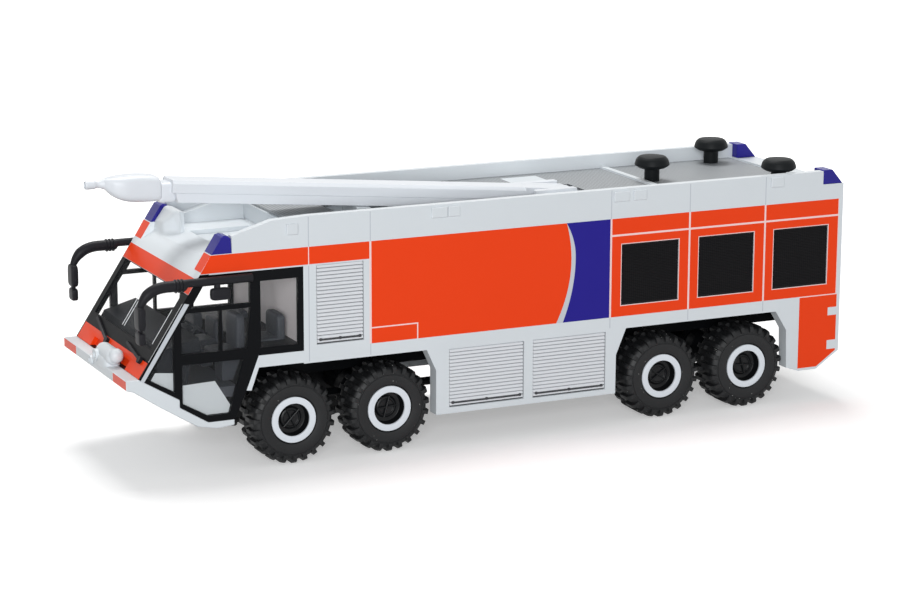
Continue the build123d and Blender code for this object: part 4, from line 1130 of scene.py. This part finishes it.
class TRUCK_OT_bumper_nozzle(bpy.types.Operator):
    """Water nozzle on the bumper's ledge"""
    bl_idname = "truck.bumper_nozzle"
    bl_label = "Bumper nozzle"

    def execute(self, context):
        foot = np.array([BUMPER_X - 1.45, 3.7, 16.3])
        # Turned parts and lumps, placed from the foot's centre and then enlarged about it
        barrel = [(0, -3.2), (0.95, -3.2), (1.35, -2.8), (1.35, 2.4), (0.9, 3.1), (0, 3.1)]
        muzzle = [(0, -0.4), (0.85, -0.4), (0.85, 1.0), (1.0, 1.2), (1.0, 1.75), (0.6, 1.75), (0.6, 1.4),
                  (0, 1.4)]
        small = [(0, 0), (0.75, 0), (0.75, 1.7), (0.4, 1.7), (0.4, 1.4), (0, 1.4)]
        made = [
            turned([(0, 0.7), (1.2, 0.7), (1.2, 2.2), (0, 2.2)], 0.2, 40, "z", (0, 0, 0)),
            shell_surface((0.1, 0, 2.0), (1.5, 2.5, 1.2), power=0.6),
            turned(barrel, 0.35, 40, "y", (-0.1, 0, 3.1)),
            turned(muzzle, 0.12, 32, "x", (0, -1.9, 2.7)),
            turned(small, 0.12, 28, "x", (0, -4.6, 1.3)),
            shell_surface((0.2, -3.0, 1.2), (0.8, 2.2, 0.6), power=0.55),
            shell_surface((-0.3, 2.7, 3.4), (1.15, 1.15, 1.15), power=0.9),
            shell_surface((-0.2, -2.4, 3.3), (1.05, 1.2, 1.1), power=0.85),
        ]
        made = [(points * 1.1 + foot, faces) for points, faces in made]
        make_piece("bumper_nozzle_cast", made, "white plastic", "bumper_nozzle", 45)
        return {"FINISHED"}


# Chassis and wheels

AXLE_X = (39.9, 21.9, -32.7, -50.7)
WHEEL_Z = 7.9
TYRE_MIDDLE_Y = 13.3


class TRUCK_OT_chassis(bpy.types.Operator):
    """Chassis, housings, shafts and belly plate"""
    bl_idname = "truck.chassis"
    bl_label = "Chassis"

    def execute(self, context):
        for node, width in (("chassis_frame", 0.1), ("driveline", 0.06), ("belly_plate", 0.08)):
            softened(node, "black plastic", width)
        housings = []
        end = 9.35
        profile = [(0, -end), (2, -end), (2, -3.2), (3.1, -1.5), (3.1, 1.5), (2, 3.2), (2, end), (0, end)]
        for x in AXLE_X:
            housings.append(turned(profile, 0.5, 48, "y", (x, 0, WHEEL_Z)))
            for y in (-4.0, 4.0):
                housings.append(box_surface((x - 1.5, y - 0.8, WHEEL_Z), (x + 1.5, y + 0.8, 12.8)))
        make_piece("axle_castings", housings, "black plastic", "axle_housings")
        for number in range(1, 5):
            paint(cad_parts[f"axle_{number}"], steel())
        return {"FINISHED"}


class TRUCK_OT_wheels(bpy.types.Operator):
    """Dished wheels with their white rings"""
    bl_idname = "truck.wheels"
    bl_label = "Wheels"

    def execute(self, context):
        face = 16.15
        ring = [(2.92, face - 0.3), (2.92, face + 0.42), (4.06, face + 0.42), (4.06, face - 0.3)]
        ring = rounded_profile(ring + ring[:1], 0.06)[:-1]
        dish = [(0, 9.95), (4.55, 9.95), (4.55, face - 0.1), (4.25, face + 0.1), (2.9, face + 0.1),
                (2.86, face - 0.3), (2.75, face - 1.5), (2.0, face - 1.6), (1.9, face - 1.1),
                (1.5, face - 0.95), (1.4, face - 1.2), (0, face - 1.25)]
        for number, x in enumerate(AXLE_X, start=1):
            centre = (x, 0, WHEEL_Z)
            rings = both_sides([lathe(ring, 96, "y", centre)])
            dishes = [turned(dish, 0.12, 72, "y", centre)] + self.cross(centre, face, 25 + 40 * number)
            body = f"wheelset_{number}"
            node = f"wheels_{number}"
            make_piece(f"wheel_rings_{number}", rings, "ring white", node, body=body)
            make_piece(f"wheel_dishes_{number}", both_sides(dishes), "wheel black", node, 35, body=body)
        return {"FINISHED"}

    def cross(self, centre, face, angle):
        """Two thin ribs across the hub, turned by an angle."""
        made = []
        for turn in (angle, angle + 70):
            a = math.radians(turn)
            along = np.array([math.cos(a), 0, math.sin(a)])
            path = np.asarray(centre) + along * np.linspace(-2.0, 2.0, 5)[:, None] + (0, face - 0.95, 0)
            made.append(tube(path, 0.15, 8))
        return made


class TRUCK_OT_tyres(bpy.types.Operator):
    """Tyres with two staggered rows of tread blocks"""
    bl_idname = "truck.tyres"
    bl_label = "Tyres"

    def execute(self, context):
        for number, x in enumerate(AXLE_X, start=1):
            tyres = both_sides([self.tyre((x, TYRE_MIDDLE_Y, WHEEL_Z))])
            body = f"wheelset_{number}"
            make_piece(f"tyre_pair_{number}", tyres, "rubber", f"tyres_{number}", 28, body=body)
        return {"FINISHED"}

    def tyre(self, centre):
        """Turned surface raised by the tread blocks: at a profile point and an angle, the radius and the
        width grow by the block height along the profile's outward direction. A row's height is 1 on its
        share of each pitch and 0 between, and the inner row is half a pitch on."""
        # Half section from the bead to the tread's middle: radius, distance from the middle, block height
        section = np.array([
            (4.2, 3.0, 0), (4.35, 3.18, 0), (4.8, 3.3, 0), (5.5, 3.35, 0), (6.02, 3.33, 0), (6.08, 3.24, 0),
            (6.2, 3.24, 0), (6.26, 3.33, 0), (6.36, 3.32, 0), (6.4, 3.3, 0.16), (6.75, 3.15, 0.4),
            (7.05, 2.95, 0.52), (7.2, 2.7, 0.58), (7.29, 2.4, 0.6), (7.3, 1.8, 0.6), (7.3, 1.0, 0.6),
            (7.3, 0.3, 0.6), (7.3, 0.22, 0.0), (7.3, 0.1, 0.0),
        ])
        profile = np.concatenate([section, section[::-1] * np.array([1, -1, 1])])
        direction = np.gradient(profile[:, :2], axis=0)
        outward = np.stack([-direction[:, 1], direction[:, 0]], axis=-1)
        outward /= np.linalg.norm(outward, axis=1, keepdims=True)
        share = np.array([0, 0.04, 0.12, 0.33, 0.4, 0.44, 0.5, 0.54, 0.62, 0.83, 0.9, 0.94])
        lugs = sizes().lugs
        turn = (np.arange(lugs)[:, None] + share).ravel() / lugs
        steps = ([0, 0.04, 0.4, 0.44, 1], [0, 1, 1, 0, 0])
        outer_row = np.interp((turn * lugs) % 1, *steps)
        inner_row = np.interp((turn * lugs + 0.5) % 1, *steps)
        is_outer = np.arange(len(profile)) < len(section)
        raised = np.where(is_outer[:, None], outer_row, inner_row) * profile[:, 2:]
        radius = profile[:, :1] + outward[:, :1] * raised
        across = profile[:, 1:2] + outward[:, 1:] * raised
        # The bore joins the two beads, a little inside them
        bore = profile[[-1, 0], :2]
        ones = np.ones_like(turn)
        radius = np.concatenate([radius, (bore[:, :1] - 0.05) * ones])
        across = np.concatenate([across, bore[:, 1:] * 0.96 * ones])
        angle = 2 * np.pi * turn
        points = np.stack([radius * np.cos(angle), across, radius * np.sin(angle)], axis=-1)
        return grid(points + np.asarray(centre, float), round_rows=True, round_columns=True)


# Add-on

OPERATORS = (
    TRUCK_OT_stage, TRUCK_OT_body, TRUCK_OT_livery, TRUCK_OT_cab, TRUCK_OT_lamps, TRUCK_OT_shutters,
    TRUCK_OT_grilles, TRUCK_OT_deck, TRUCK_OT_boom, TRUCK_OT_mirrors, TRUCK_OT_bumper_nozzle,
    TRUCK_OT_chassis, TRUCK_OT_wheels, TRUCK_OT_tyres,
)


class TRUCK_PT_panel(bpy.types.Panel):
    """Lists the steps and the sizes"""
    bl_idname = "TRUCK_PT_panel"
    bl_label = "Fire truck model"
    bl_space_type = "VIEW_3D"
    bl_region_type = "UI"
    bl_category = "Truck"

    def draw(self, context):
        for group in (context.scene.truck_sizes, context.scene.truck_colours):
            for name in group.__annotations__:
                self.layout.prop(group, name)
        for operator in OPERATORS:
            self.layout.operator(operator.bl_idname)


CLASSES = (TruckSizes, TruckColours, *OPERATORS, TRUCK_PT_panel)


def register():
    for cls in CLASSES:
        bpy.utils.register_class(cls)
    bpy.types.Scene.truck_sizes = PointerProperty(type=TruckSizes)
    bpy.types.Scene.truck_colours = PointerProperty(type=TruckColours)


def unregister():
    del bpy.types.Scene.truck_colours
    del bpy.types.Scene.truck_sizes
    for cls in reversed(CLASSES):
        bpy.utils.unregister_class(cls)


def main():
    register()
    bpy.context.scene.view_settings.view_transform = "Standard"
    for operator in OPERATORS:
        group, name = operator.bl_idname.split(".")
        getattr(getattr(bpy.ops, group), name)()


if __name__ == "__main__":
    main()
